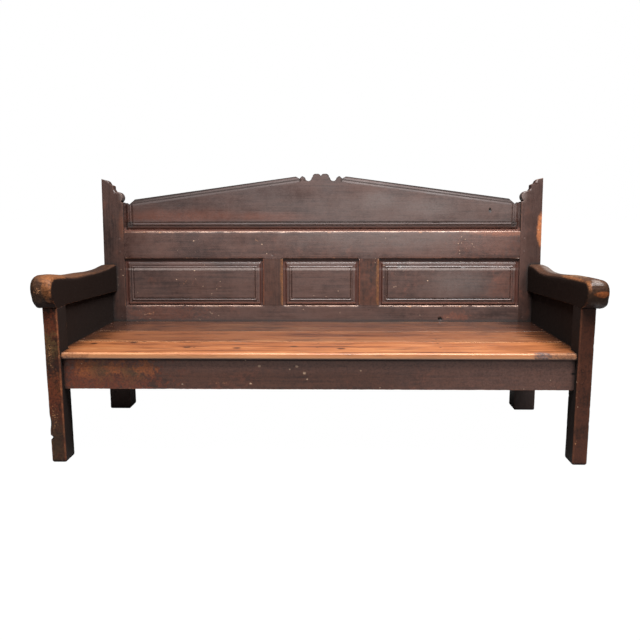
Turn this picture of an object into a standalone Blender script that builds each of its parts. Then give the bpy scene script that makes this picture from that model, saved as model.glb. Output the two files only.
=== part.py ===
"""Panelled settle bench with a raked back, plank seat and rolled arms, in metres, +Z up.

The origin is on the floor, at the middle of the bench's box. +X runs along the seat and +Y to the back.
Every board is its own object. Tenons sit in mortises, panels float in grooves, and pegs lock the joints.
"""

import math

import bmesh
import bpy
from mathutils import Matrix, Vector

# Clearances
FIT = 0.0003  # between two pieces that touch
GROOVE_SPARE = 0.001  # left at the bottom of a groove, so that a panel can swell
MORTISE_SPARE = 0.001  # left at the end of a tenon or peg
MORTISE_WALL = 0.004  # least wood between two cuts in one piece

# Overall
SPAN = 1.920  # over the outer faces of the legs and posts
SEAT_HEIGHT = 0.405  # top of the planks
SEAT_TO_BACK = 0.675  # front of the legs to the face of the back, at the seat
RAKE = math.radians(3.1)  # lean of the back above the seat

# Front legs
LEG_WIDTH = 0.054
LEG_DEPTH = 0.084
LEG_CHAMFER = 0.004
FOOT_WEAR = 0.007  # rounding of a worn foot
LEG_TENON_WIDTH = 0.022
LEG_TENON_DEPTH = 0.044
LEG_TENON_LENGTH = 0.050
TENON_CHAMFER = 0.001

# Posts: one plank each, foot and back in one
POST_WIDTH = 0.091
POST_FOOT_DEPTH = 0.092
POST_TOP_DEPTH = 0.040
POST_CROWN = 0.104  # carved top, above the end of the crest

# Back frame, measured up the rake from the seat
RAIL_THICKNESS = 0.032
BOTTOM_RAIL_ABOVE_SEAT = 0.071
BOTTOM_RAIL_BELOW_SEAT = 0.090
PANEL_HEIGHT = 0.207
MIDDLE_RAIL_HEIGHT = 0.119
CENTRE_PANEL_WIDTH = 0.334
MUNTIN_WIDTH = 0.089
MUNTIN_TENON_WIDTH = 0.056
MUNTIN_TENON_LENGTH = 0.030
RAIL_TENON_LENGTH = 0.044
RAIL_TENON_THICKNESS = 0.010

# Grooves and fielded panels
GROOVE_DEPTH = 0.010
GROOVE_WIDTH = 0.009
GROOVE_SETBACK = 0.012  # from the face of the frame
FIELD_SETBACK = 0.003  # from the face of the frame to the panel's field
FIELD_DROP = 0.0065  # how far the fields of the lower panels sit below the middle
RECESS_WIDTH = 0.011  # flat border round the raised part
PANEL_STEP_WIDTH = 0.003  # from the recess up to the bevel
PANEL_STEP_RISE = 0.0048
BEVEL_WIDTH = 0.0105
BEVEL_RISE = 0.0012
LOWER_QUIRK_WIDTH = 0.0015  # between the bevel and the bead
BEAD_WIDTH = 0.010
BEAD_RISE = 0.004  # above its quirks
QUIRK_WIDTH = 0.004  # between the bead and the field

# Crest: the raised top panel, open along its raking top edges
CREST_END_HEIGHT = 0.124  # above the middle rail, where its ends meet the posts
CREST_CORNER_RISE = 0.016  # clipped corner, above the ends
CREST_CORNER_INSET = 0.051  # clipped corner, in from the posts
CREST_NICK = 0.007  # dip between the end and the clipped corner
CREST_SLOPE = math.radians(7.8)
CREST_ORNAMENT_HALF = 0.109
LOBE_WIDTH = 0.036
LOBE_CORNER = 0.013
LOBE_RISE = 0.011  # top of the lobes above the start of the slope
HOLLOW_RADIUS = 0.014
HOLLOW_CENTRE = 0.054
HOLLOW_SINK = 0.006
EAR_RADIUS = 0.007
EAR_CENTRE = 0.080
EAR_SINK = 0.006
EAR_NOTCH = 0.093
EAR_NOTCH_SINK = 0.009
EDGE_SETBACK = 0.011  # face of the raking edge, behind the face of the frame
EDGE_FILLET = 0.006
EDGE_STEP = 0.002  # from the fillet up to the bevel, as wide as it is high
EDGE_BEVEL_WIDTH = 0.008  # each of two, with a groove between them
EDGE_GROOVE = 0.0008

# Carved top of a post, from its outer corner inwards and down
SHOULDER_INSET = 0.015
SHOULDER_DROP = 0.004
SHOULDER_RADIUS = 0.020
STEP_INSET = 0.047
STEP_DROP = 0.026
STEP_HEIGHT = 0.017
VOLUTE_RADIUS = 0.024
VOLUTE_INSET = 0.066
VOLUTE_DROP = 0.079

# Apron, side rails and bearers under the seat
APRON_SETBACK = 0.023
APRON_THICKNESS = 0.026
APRON_HEIGHT = 0.111
APRON_TENON_LENGTH = 0.034
APRON_TENON_THICKNESS = 0.010
APRON_TENON_SHOULDER = 0.015
SIDE_RAIL_THICKNESS = 0.042
SIDE_RAIL_HEIGHT = 0.095
SIDE_RAIL_INSET = 0.004  # inner face, outwards from the leg's inner face
SIDE_RAIL_TENON_THICKNESS = 0.014
SIDE_RAIL_TENON_LENGTH = 0.036  # into the post
BEARER_WIDTH = 0.045
BEARER_HEIGHT = 0.060
BEARER_SPACING = 0.450
BEARER_TENON_HEIGHT = 0.026
BEARER_TENON_LENGTH = 0.013

# Seat planks
SEAT_THICKNESS = 0.025
SEAT_SETBACK = 0.006  # front edge behind the front of the legs
SEAT_NOSE = 0.009  # rounding of the front edge
PLANK_WIDTH = 0.215  # front and middle planks; the rear plank takes the rest
PLANK_GAP = 0.0009
SEAT_SHRINKAGE = 0.0008  # gap at the ends of the planks, at the legs and at the back

# Side panels
SIDE_PANEL_THICKNESS = 0.012

# Arms
ARM_CLEARANCE = 0.160  # top of the seat to the top of the legs
ARM_HEIGHT = 0.092  # at the leg
ARM_DIP = 0.010  # hollow in the middle of the top
ARM_OVERHANG = 0.026  # beyond the outer face of the leg
ARM_ROUND = 0.026  # outer edge
ARM_UNDERSIDE_SLOPE = math.radians(2.4)
ARM_NOSE_LIFT = 0.013  # underside of the nose above the top of the leg
ARM_NOSE_REACH = {"left": 0.044, "right": 0.058}  # each nose is worn its own way
ARM_NOSE_RISE = {"left": 0.014, "right": 0.000}
ARM_EASE = {"left": 0.010, "right": 0.017}  # inner edge
ARM_NOSE_BLEND = 0.200  # length over which a raised nose runs back into the arm
ARM_TENON_THICKNESS = 0.018
ARM_TENON_HEIGHT = 0.056
ARM_TENON_LENGTH = 0.034

# Pegs
PEG_RADIUS = 0.0045
PEG_TAPER = 0.001  # smaller radius at the tip
PEG_PROUD = 0.0004
PEG_SIDES = 8
PEG_LENGTH = 0.040
MUNTIN_PEG_LENGTH = 0.028
PEG_FROM_SHOULDER = 0.018  # peg centre into the mortised piece
RAIL_PEG_SPREAD = 0.056
APRON_PEG_SPREAD = 0.042

# Places that follow from the sizes
SIDES = {"left": -1, "right": 1}
LEG_INNER = SPAN / 2 - LEG_WIDTH
LEG_MIDDLE = SPAN / 2 - LEG_WIDTH / 2
POST_INNER = SPAN / 2 - POST_WIDTH
MUNTIN_INNER = CENTRE_PANEL_WIDTH / 2
MUNTIN_OUTER = MUNTIN_INNER + MUNTIN_WIDTH
PANEL_BOTTOM = BOTTOM_RAIL_ABOVE_SEAT
PANEL_TOP = PANEL_BOTTOM + PANEL_HEIGHT
MIDDLE_TOP = PANEL_TOP + MIDDLE_RAIL_HEIGHT
CREST_END = MIDDLE_TOP + CREST_END_HEIGHT
POST_TOP = CREST_END + POST_CROWN
TONGUE = GROOVE_DEPTH - GROOVE_SPARE
TONGUE_FRONT = GROOVE_SETBACK + FIT
PANEL_BACK = GROOVE_SETBACK + GROOVE_WIDTH - FIT
GROOVE_MIDDLE = GROOVE_SETBACK + GROOVE_WIDTH / 2
RAIL_SHOULDER = GROOVE_DEPTH + MORTISE_WALL
REAR = max(POST_FOOT_DEPTH, POST_TOP * math.sin(RAKE) + POST_TOP_DEPTH * math.cos(RAKE))
FRONT = (max(ARM_NOSE_REACH.values()) - SEAT_TO_BACK - REAR) / 2  # front face of the legs
BACK = FRONT + SEAT_TO_BACK  # face of the back at the seat
SEAT_UNDERSIDE = SEAT_HEIGHT - SEAT_THICKNESS
FRAME_TOP = SEAT_UNDERSIDE - FIT  # apron, side rails and bearers
LEG_TOP = SEAT_HEIGHT + ARM_CLEARANCE
ARM_TOP = LEG_TOP + ARM_HEIGHT
ARM_OUTER = SPAN / 2 + ARM_OVERHANG
APRON_FRONT = FRONT + APRON_SETBACK
APRON_BACK = APRON_FRONT + APRON_THICKNESS
APRON_MIDDLE = APRON_FRONT + APRON_THICKNESS / 2
LEG_BACK = FRONT + LEG_DEPTH


def back_face(height):
    """Y of the face of the posts at a height above the floor: upright to the seat, then raked."""
    return BACK + max(0.0, height - SEAT_HEIGHT) * math.tan(RAKE)


def arm_underside(y):
    """Height of the arm's lower edge: level over the leg, then falling to the back."""
    return LEG_TOP - max(0.0, y - LEG_BACK) * math.tan(ARM_UNDERSIDE_SLOPE)


# Modelling helpers


def along(axis, at, first, second):
    """The point at a distance along one axis, with the other two coordinates in X, Y, Z order."""
    rest = [first, second]
    return tuple(at if name == axis else rest.pop(0) for name in "XYZ")


def loft(rings):
    """A closed solid through rings of points, with flat ends."""
    solid = bmesh.new()
    loops = [[solid.verts.new(point) for point in ring] for ring in rings]
    for first, second in zip(loops, loops[1:]):
        for i in range(len(first)):
            j = (i + 1) % len(first)
            solid.faces.new((first[i], first[j], second[j], second[i]))
    solid.faces.new(loops[0])
    solid.faces.new(loops[-1])
    bmesh.ops.recalc_face_normals(solid, faces=solid.faces)
    return solid


def prism(outline, axis, low, high):
    """An outline of coordinate pairs swept along an axis."""
    return loft([[along(axis, at, a, b) for a, b in outline] for at in (low, high)])


def rectangle(a_low, a_high, b_low, b_high):
    return [(a_low, b_low), (a_high, b_low), (a_high, b_high), (a_low, b_high)]


def eased(x, y, chamfer, z):
    """A level rectangle with cut corners, between (low, high) pairs."""
    ring = []
    for corner_x, corner_y, towards_x, towards_y in ((x[0], y[0], 1, 1), (x[1], y[0], -1, 1),
                                                     (x[1], y[1], -1, -1), (x[0], y[1], 1, -1)):
        ends = [(corner_x, corner_y + towards_y * chamfer, z),
                (corner_x + towards_x * chamfer, corner_y, z)]
        ring += ends if towards_x == towards_y else ends[::-1]
    return ring


def block(x, y, z):
    """A box between (low, high) pairs."""
    return prism(rectangle(*x, *y), "Z", *z)


def grown(pair, margin):
    return min(pair) - margin, max(pair) + margin


def mirrored(side, low, high):
    """(low, high) on the right, or the same span on the left."""
    return tuple(sorted((SIDES[side] * low, SIDES[side] * high)))


def tenoned(axis, span, body, tenon, low_tenon=0.0, high_tenon=0.0):
    """A board along an axis, with a tenon past the low end, the high end or both."""
    sections = [(span[0], body), (span[1], body)]
    if low_tenon:
        sections = [(span[0] - low_tenon, tenon), (span[0], tenon)] + sections
    if high_tenon:
        sections += [(span[1], tenon), (span[1] + high_tenon, tenon)]
    return loft([[along(axis, at, a, b) for a, b in rectangle(*section)] for at, section in sections])


def arc(centre, radius, start, end, steps):
    """Points of a circular arc; angles in degrees from the first axis."""
    angles = [math.radians(start + (end - start) * i / steps) for i in range(steps + 1)]
    return [(centre[0] + radius * math.cos(a), centre[1] + radius * math.sin(a)) for a in angles]


def round_edges(solid, chosen, width, segments):
    edges = [edge for edge in solid.edges if chosen(*(vert.co for vert in edge.verts))]
    bmesh.ops.bevel(solid, geom=edges, offset=width, segments=segments, profile=0.5,
                    affect="EDGES", clamp_overlap=False)


def add_object(name, solid, material=None, parent=None, smooth=False):
    mesh = bpy.data.meshes.new(name)
    solid.to_mesh(mesh)
    solid.free()
    if smooth:
        mesh.shade_smooth()
        mesh.set_sharp_from_angle(angle=math.radians(35))
    piece = bpy.data.objects.new(name, mesh)
    piece.parent = parent
    if material:
        mesh.materials.append(material)
    return piece


def add_piece(name, solid, material, parent=None, smooth=False):
    piece = add_object(name, solid, material, parent, smooth)
    bpy.context.scene.collection.objects.link(piece)
    return piece


def helper(name, solid, parent=None):
    tool = add_object(name, solid, parent=parent)
    tool.hide_render = True
    tool.display_type = "WIRE"
    return tool


def cut(piece, *cutters, parent=None):
    """Takes solids out of a piece, with one Boolean over the piece's own collection of cutters."""
    name = "cuts_" + piece.name
    group = bpy.data.collections.get(name)
    if group is None:
        group = bpy.data.collections.new(name)
        group.hide_render = True
        bpy.context.scene.collection.children.link(group)
        modifier = piece.modifiers.new("joinery", "BOOLEAN")
        modifier.operation = "DIFFERENCE"
        modifier.solver = "EXACT"
        modifier.operand_type = "COLLECTION"
        modifier.collection = group
    for cutter in cutters:
        group.objects.link(helper(f"{name}_{len(group.objects)}", cutter, parent))


def join(piece, solid):
    """Adds a solid that overlaps the piece, with a Boolean union."""
    added = helper("joined_" + piece.name, solid)
    bpy.context.scene.collection.objects.link(added)
    modifier = piece.modifiers.new("tenon", "BOOLEAN")
    modifier.operation = "UNION"
    modifier.solver = "EXACT"
    modifier.object = added


def peg_solid(head, direction, length, spare, proud):
    """A tapered eight-sided peg, or with spare room, its hole. head lies on the face that it enters."""
    long = length + proud + (MORTISE_SPARE if spare else 0.0)
    solid = bmesh.new()
    bmesh.ops.create_cone(solid, cap_ends=True, segments=PEG_SIDES, depth=long,
                          radius1=PEG_RADIUS + spare, radius2=PEG_RADIUS - PEG_TAPER + spare)
    turn = Vector((0, 0, 1)).rotation_difference(Vector(direction)).to_matrix().to_4x4()
    middle = Vector(head) + Vector(direction) * (long / 2 - proud)
    bmesh.ops.transform(solid, matrix=Matrix.Translation(middle) @ turn, verts=solid.verts)
    return solid


def drive_peg(name, head, direction, through, parent=None, length=PEG_LENGTH):
    """One peg, and its hole in each piece that it goes through."""
    solid = peg_solid(head, direction, length, 0.0, PEG_PROUD)
    add_piece(name, solid, PEG_WOOD, parent, smooth=True)
    for piece in through:
        cut(piece, peg_solid(head, direction, length, FIT, PEG_PROUD + MORTISE_SPARE), parent=parent)


def wood(name, colour, roughness):
    material = bpy.data.materials.new(name)
    material.use_nodes = True
    shader = material.node_tree.nodes["Principled BSDF"]
    shader.inputs["Base Color"].default_value = (*colour, 1.0)
    shader.inputs["Roughness"].default_value = roughness
    shader.inputs["Metallic"].default_value = 0.0
    return material


# Back frame


def rail(name, low, high, frame):
    """A rail between the posts: its tenons lie in line with the panel grooves."""
    face = (0.0, RAIL_THICKNESS, low, high)
    half = RAIL_TENON_THICKNESS / 2
    tenon = (GROOVE_MIDDLE - half, GROOVE_MIDDLE + half, low + RAIL_SHOULDER, high - RAIL_SHOULDER)
    span = (-POST_INNER + FIT, POST_INNER - FIT)
    piece = add_piece(name, tenoned("X", span, face, tenon, RAIL_TENON_LENGTH, RAIL_TENON_LENGTH),
                      DARK_WOOD, frame)
    return piece, tenon


def groove_along_rail(piece, edge, frame):
    """A groove over the whole length of a rail, on both sides of the line of its edge."""
    depth = (GROOVE_SETBACK, GROOVE_SETBACK + GROOVE_WIDTH)
    length = grown((-POST_INNER, POST_INNER), GROOVE_DEPTH)
    cut(piece, block(length, depth, grown((edge, edge), GROOVE_DEPTH)), parent=frame)


def mortise_for_rail(post, side, tenon, frame):
    reach = (POST_INNER - MORTISE_SPARE, POST_INNER + RAIL_TENON_LENGTH + MORTISE_SPARE)
    cut(post, block(mirrored(side, *reach), grown(tenon[:2], FIT), grown(tenon[2:], FIT)), parent=frame)


def muntin(side, frame):
    half = MUNTIN_TENON_WIDTH / 2
    middle = SIDES[side] * (MUNTIN_INNER + MUNTIN_OUTER) / 2
    body = (*mirrored(side, MUNTIN_INNER, MUNTIN_OUTER), 0.0, RAIL_THICKNESS)
    tenon = (middle - half, middle + half, TONGUE_FRONT + FIT, PANEL_BACK - FIT)
    span = (PANEL_BOTTOM + FIT, PANEL_TOP - FIT)
    piece = add_piece(f"muntin_{side}",
                      tenoned("Z", span, body, tenon, MUNTIN_TENON_LENGTH, MUNTIN_TENON_LENGTH),
                      DARK_WOOD, frame)
    depth = (GROOVE_SETBACK, GROOVE_SETBACK + GROOVE_WIDTH)
    height = grown((PANEL_BOTTOM, PANEL_TOP), MORTISE_SPARE)
    for edge in (MUNTIN_INNER, MUNTIN_OUTER):
        at = SIDES[side] * edge
        cut(piece, block(grown((at, at), GROOVE_DEPTH), depth, height), parent=frame)
    return piece, tenon, middle


def mortise_for_muntin(piece, tenon, edge, upwards, frame):
    reach = upwards * (MUNTIN_TENON_LENGTH + MORTISE_SPARE)
    span = sorted((edge - upwards * MORTISE_SPARE, edge + reach))
    cut(piece, block(grown(tenon[:2], FIT), grown(tenon[2:], FIT), span), parent=frame)


def field_profile():
    """A panel's face from its edge to its field, as (inward, depth behind the frame's face)."""
    step_end = RECESS_WIDTH + PANEL_STEP_WIDTH
    bevel_start = TONGUE_FRONT - PANEL_STEP_RISE
    border = [(0.0, TONGUE_FRONT), (RECESS_WIDTH, TONGUE_FRONT), (step_end, bevel_start),
              (step_end + BEVEL_WIDTH, bevel_start - BEVEL_RISE)]
    half = BEAD_WIDTH / 2
    middle = step_end + BEVEL_WIDTH + LOWER_QUIRK_WIDTH + half
    bead = [(middle - across, FIELD_SETBACK + BEAD_RISE * (1 - up / half))
            for across, up in arc((0.0, 0.0), half, 0, 180, 8)]
    return border + bead + [(middle + half + QUIRK_WIDTH, FIELD_SETBACK)]


def edge_profile():
    """The crest's face from its raking edge to its field: fillet, step, and two bevels with a groove."""
    bevel_start = EDGE_FILLET + EDGE_STEP
    rise = (EDGE_SETBACK - EDGE_STEP - FIELD_SETBACK) / 2
    groove = bevel_start + EDGE_BEVEL_WIDTH
    return [(0.0, EDGE_SETBACK), (EDGE_FILLET, EDGE_SETBACK),
            (bevel_start, EDGE_SETBACK - EDGE_STEP),
            (groove, FIELD_SETBACK + rise),
            (groove + EDGE_GROOVE, FIELD_SETBACK + rise + EDGE_GROOVE),
            (groove + 2 * EDGE_GROOVE, FIELD_SETBACK + rise),
            (groove + 2 * EDGE_GROOVE + EDGE_BEVEL_WIDTH, FIELD_SETBACK)]


def fielded_panel(name, left, right, frame):
    """A rectangular panel whose tongue runs in the frame's grooves on all four sides."""
    rims = [(-TONGUE, PANEL_BACK), (-TONGUE, TONGUE_FRONT)] + field_profile()
    rings = []
    for inward, depth in rims:
        drop = FIELD_DROP * min(1.0, max(0.0, inward / RECESS_WIDTH))
        height = (PANEL_BOTTOM + inward - drop, PANEL_TOP - inward - drop)
        rings.append([(x, depth, z) for x, z in rectangle(left + inward, right - inward, *height)])
    add_piece(name, loft(rings), DARK_WOOD, frame)


def crest_outline():
    """The crest from the front: tongues below and beside, clipped corners, raking edges, carved middle."""
    corner_x = POST_INNER - CREST_CORNER_INSET
    corner = CREST_END + CREST_CORNER_RISE
    start = corner + (corner_x - CREST_ORNAMENT_HALF) * math.tan(CREST_SLOPE)
    lobe_middle = start + LOBE_RISE - LOBE_CORNER
    lobe = arc((LOBE_CORNER, lobe_middle), LOBE_CORNER, 155, 90, 5)
    lobe += arc((LOBE_WIDTH - LOBE_CORNER, lobe_middle), LOBE_CORNER, 90, 0, 6)
    hollow = arc((HOLLOW_CENTRE, start - HOLLOW_SINK), HOLLOW_RADIUS, 180, 360, 6)
    ear = arc((EAR_CENTRE, start - EAR_SINK), EAR_RADIUS, 150, 20, 4)
    ear_end = [(EAR_NOTCH, start - EAR_NOTCH_SINK), (CREST_ORNAMENT_HALF, start)]
    nick_x = (corner_x + POST_INNER) / 2
    end = [(corner_x, corner), (nick_x, CREST_END - CREST_NICK), (nick_x + CREST_NICK, CREST_END),
           (POST_INNER + TONGUE, CREST_END), (POST_INNER + TONGUE, MIDDLE_TOP - TONGUE)]
    half = lobe + hollow + ear + ear_end + end
    return half + [(-x, z) for x, z in reversed(half)], start


def waste_outline(profile):
    """What is cut away in front of a panel's face, from outside its edge to its field."""
    outside, front = -2 * GROOVE_DEPTH, -GROOVE_SETBACK
    before, field = profile[-2:]
    run = (front - field[1]) / (field[1] - before[1])
    past_field = (field[0] + run * (field[0] - before[0]), front)
    return [(outside, front), (outside, profile[0][1])] + profile + [past_field]


def crest_panel(frame):
    """The crest: recessed and beaded below and beside, with bevels up its raking edges."""
    outline, slope_start = crest_outline()
    piece = add_piece("crest_panel", prism(outline, "Y", FIELD_SETBACK, PANEL_BACK), DARK_WOOD, frame)
    waste = waste_outline(field_profile())
    below = [(depth, MIDDLE_TOP + inward) for inward, depth in waste]
    cut(piece, prism(below, "X", -SPAN / 2, SPAN / 2), parent=frame)
    past_corner = POST_INNER + GROOVE_DEPTH
    rake_ends = [(x, slope_start - (x - CREST_ORNAMENT_HALF) * math.tan(CREST_SLOPE))
                 for x in (EAR_NOTCH, past_corner)]
    down = (-math.sin(CREST_SLOPE), -math.cos(CREST_SLOPE))
    edge_waste = waste_outline(edge_profile())
    for sign in SIDES.values():
        beside = [(sign * (POST_INNER - inward), depth) for inward, depth in waste]
        cut(piece, prism(beside, "Z", 0.0, POST_TOP), parent=frame)
        raking = [[(sign * (x + inward * down[0]), depth, z + inward * down[1])
                   for inward, depth in edge_waste] for x, z in rake_ends]
        cut(piece, loft(raking), parent=frame)


# Posts


def post_crown(side):
    """The waste round a post's carved top: shoulder, step and volute, from the outer corner inwards."""
    def at(inset, drop):
        return SIDES[side] * (SPAN / 2 - inset), POST_TOP - drop

    shoulder = arc((SHOULDER_INSET, SHOULDER_DROP + SHOULDER_RADIUS), SHOULDER_RADIUS, -90, -10, 4)
    step = [(STEP_INSET - SHOULDER_DROP, STEP_DROP), (STEP_INSET, STEP_DROP),
            (STEP_INSET + SHOULDER_DROP, STEP_DROP + SHOULDER_DROP),
            (STEP_INSET + SHOULDER_DROP, STEP_DROP + STEP_HEIGHT)]
    volute = arc((VOLUTE_INSET, VOLUTE_DROP), VOLUTE_RADIUS, -105, 55, 9)
    neck = POST_CROWN - SHOULDER_DROP
    margin = POST_WIDTH / 2
    outside = [(POST_WIDTH + margin, neck), (POST_WIDTH + margin, -margin), (0.0, -margin)]
    points = [(0.0, 0.0)] + shoulder + step + volute + [(POST_WIDTH, neck)] + outside
    depth = grown((0.0, POST_FOOT_DEPTH), POST_FOOT_DEPTH)
    return prism([at(*point) for point in points], "Y", *depth)


def post(side, frame):
    """A post: upright foot, then a tapered plank whose face leans with the back."""
    lean, rise = math.sin(RAKE), math.cos(RAKE)
    top_face = (BACK + POST_TOP * lean, SEAT_HEIGHT + POST_TOP * rise)
    top_rear = (top_face[0] + POST_TOP_DEPTH * rise, top_face[1] - POST_TOP_DEPTH * lean)
    rear = BACK + POST_FOOT_DEPTH
    profile = [(BACK, 0.0), (BACK, SEAT_HEIGHT), top_face, top_rear, (rear, SEAT_HEIGHT), (rear, 0.0)]
    solid = prism(profile, "X", *mirrored(side, POST_INNER, SPAN / 2))
    round_edges(solid, lambda a, b: a.z == 0.0 and b.z == 0.0, FOOT_WEAR, 2)
    piece = add_piece(f"post_{side}", solid, DARK_WOOD)
    cut(piece, post_crown(side), parent=frame)
    depth = (GROOVE_SETBACK, GROOVE_SETBACK + GROOVE_WIDTH)
    edge = mirrored(side, POST_INNER - GROOVE_DEPTH, POST_INNER + GROOVE_DEPTH)
    cut(piece, block(edge, depth, grown((PANEL_BOTTOM, PANEL_TOP), GROOVE_DEPTH)),
        block(edge, depth, (MIDDLE_TOP - GROOVE_DEPTH, CREST_END + FIT)), parent=frame)
    return piece


# Front legs, apron, side rails and bearers


def front_leg(side):
    """A leg with eased corners and a worn foot, and a tenon into the arm."""
    across, depth = mirrored(side, LEG_INNER, SPAN / 2), (FRONT, LEG_BACK)
    middle = (SIDES[side] * LEG_MIDDLE, FRONT + LEG_DEPTH / 2)
    tenon = (*grown((middle[0], middle[0]), LEG_TENON_WIDTH / 2),
             *grown((middle[1], middle[1]), LEG_TENON_DEPTH / 2))
    body_top = LEG_TOP - FIT
    rings = []
    for out, down in arc((0.0, 0.0), FOOT_WEAR, 90, 0, 3):
        worn = out - FOOT_WEAR
        rings.append(eased(grown(across, worn), grown(depth, worn), LEG_CHAMFER, FOOT_WEAR - down))
    rings.append(eased(across, depth, LEG_CHAMFER, body_top))
    for z in (body_top, body_top + LEG_TENON_LENGTH):
        rings.append(eased(tenon[:2], tenon[2:], TENON_CHAMFER, z))
    return add_piece(f"front_leg_{side}", loft(rings), DARK_WOOD), tenon


def apron():
    body = (APRON_FRONT, APRON_BACK, FRAME_TOP - APRON_HEIGHT, FRAME_TOP)
    half = APRON_TENON_THICKNESS / 2
    tenon = (APRON_MIDDLE - half, APRON_MIDDLE + half,
             body[2] + APRON_TENON_SHOULDER, body[3] - APRON_TENON_SHOULDER)
    span = (-LEG_INNER + FIT, LEG_INNER - FIT)
    solid = tenoned("X", span, body, tenon, APRON_TENON_LENGTH, APRON_TENON_LENGTH)
    return add_piece("apron", solid, DARK_WOOD), tenon


def mortise_for_apron(leg, side, tenon):
    reach = (LEG_INNER - MORTISE_SPARE, LEG_INNER + APRON_TENON_LENGTH + MORTISE_SPARE)
    cut(leg, block(mirrored(side, *reach), grown(tenon[:2], FIT), grown(tenon[2:], FIT)))


def side_rail(side, leg, rear_post):
    """A rail under the end of the seat, from the leg to the post, grooved for the side panel."""
    inner = LEG_INNER + SIDE_RAIL_INSET
    low = FRAME_TOP - SIDE_RAIL_HEIGHT
    body = (*mirrored(side, inner, inner + SIDE_RAIL_THICKNESS), low, FRAME_TOP)
    middle = SIDES[side] * LEG_MIDDLE
    tenon = (*grown((middle, middle), SIDE_RAIL_TENON_THICKNESS / 2),
             low + RAIL_SHOULDER, FRAME_TOP - RAIL_SHOULDER)
    into_leg = LEG_BACK - (APRON_MIDDLE + APRON_TENON_THICKNESS / 2) - MORTISE_WALL - MORTISE_SPARE
    span = (LEG_BACK + FIT, BACK - FIT)
    solid = tenoned("Y", span, body, tenon, into_leg, SIDE_RAIL_TENON_LENGTH)
    piece = add_piece(f"side_rail_{side}", solid, DARK_WOOD)
    across, height = grown(tenon[:2], FIT), grown(tenon[2:], FIT)
    cut(leg, block(across, (LEG_BACK - into_leg - MORTISE_SPARE, LEG_BACK + MORTISE_SPARE), height))
    reach = (BACK - MORTISE_SPARE, BACK + SIDE_RAIL_TENON_LENGTH + MORTISE_SPARE)
    cut(rear_post, block(across, reach, height))
    return piece, tenon, into_leg


def bearer(name, x, frame_parts):
    """A cross bearer under the planks, tenoned into the apron and into the bottom rail of the back."""
    apron_piece, bottom_rail = frame_parts
    low = FRAME_TOP - BEARER_HEIGHT
    middle = FRAME_TOP - BEARER_HEIGHT / 2
    tenon = (middle - BEARER_TENON_HEIGHT / 2, middle + BEARER_TENON_HEIGHT / 2)

    def rail_face(z):
        return BACK + (z - SEAT_HEIGHT) * math.tan(RAKE) - FIT

    front = APRON_BACK + FIT
    outline = [(front, low), (rail_face(low), low), (rail_face(tenon[0]), tenon[0]),
               (rail_face(middle) + BEARER_TENON_LENGTH, tenon[0]),
               (rail_face(middle) + BEARER_TENON_LENGTH, tenon[1]),
               (rail_face(tenon[1]), tenon[1]), (rail_face(FRAME_TOP), FRAME_TOP), (front, FRAME_TOP),
               (front, tenon[1]), (front - BEARER_TENON_LENGTH, tenon[1]),
               (front - BEARER_TENON_LENGTH, tenon[0]), (front, tenon[0])]
    across = (x - BEARER_WIDTH / 2, x + BEARER_WIDTH / 2)
    add_piece(name, prism(outline, "X", *across), DARK_WOOD)
    mortise = BEARER_TENON_LENGTH + MORTISE_SPARE
    hole = grown(tenon, FIT)
    cut(apron_piece, block(grown(across, FIT), (front - mortise, front + MORTISE_SPARE), hole))
    rear = rail_face(middle)
    cut(bottom_rail, block(grown(across, FIT), (rear - mortise / 2, rear + mortise), hole))


# Seat


def seat_plank(name, front, rear):
    """A plank along the seat; the front one is notched round the legs and has a round nose."""
    end = LEG_MIDDLE - SIDE_PANEL_THICKNESS / 2 - SEAT_SHRINKAGE
    if front > LEG_BACK:
        outline = rectangle(-end, end, front, rear)
    else:
        notch_x, notch_y = LEG_INNER - SEAT_SHRINKAGE, LEG_BACK + SEAT_SHRINKAGE
        half = [(notch_x, front), (notch_x, notch_y), (end, notch_y), (end, rear)]
        outline = half + [(-x, y) for x, y in reversed(half)]
    solid = prism(outline, "Z", SEAT_UNDERSIDE, SEAT_HEIGHT)
    if front <= LEG_BACK:
        nose = min(vert.co.y for vert in solid.verts)
        round_edges(solid, lambda a, b: a.y == nose and b.y == nose and a.z == b.z, SEAT_NOSE, 4)
    add_piece(name, solid, SEAT_WOOD, smooth=True)


def seat_planks():
    rear = BACK - (SEAT_HEIGHT - SEAT_UNDERSIDE) * math.tan(RAKE) - SEAT_SHRINKAGE
    start = FRONT + SEAT_SETBACK
    middle = start + PLANK_WIDTH + PLANK_GAP
    last = middle + PLANK_WIDTH + PLANK_GAP
    seat_plank("seat_plank_front", start, middle - PLANK_GAP)
    seat_plank("seat_plank_middle", middle, last - PLANK_GAP)
    seat_plank("seat_plank_rear", last, rear)


# Arms and side panels


def arm_profile(side):
    """The arm's side outline as (y, z): hollowed top, round nose, leg seat and falling lower edge."""
    top_rear = (back_face(ARM_TOP) - FIT, ARM_TOP)
    underside = LEG_TOP
    crown = ARM_TOP + ARM_NOSE_RISE[side]
    nose_bottom = underside + ARM_NOSE_LIFT
    radius = (crown - nose_bottom) / 2
    centre = (FRONT - ARM_NOSE_REACH[side] + radius, nose_bottom + radius)
    steps = 12
    top = []
    for i in range(steps + 1):
        share = i / steps
        y = top_rear[0] + share * (centre[0] - top_rear[0])
        dip = ARM_DIP * math.sin(math.pi * share) ** 2
        near_nose = max(0.0, 1 - (y - centre[0]) / ARM_NOSE_BLEND)
        top.append((y, ARM_TOP - dip + ARM_NOSE_RISE[side] * near_nose**2 * (3 - 2 * near_nose)))
    nose = arc(centre, radius, 90, 250, 9)[1:]
    rear = back_face(arm_underside(BACK)) - FIT
    return top + nose + [(FRONT, underside), (LEG_BACK, underside), (rear, arm_underside(rear))]


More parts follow.
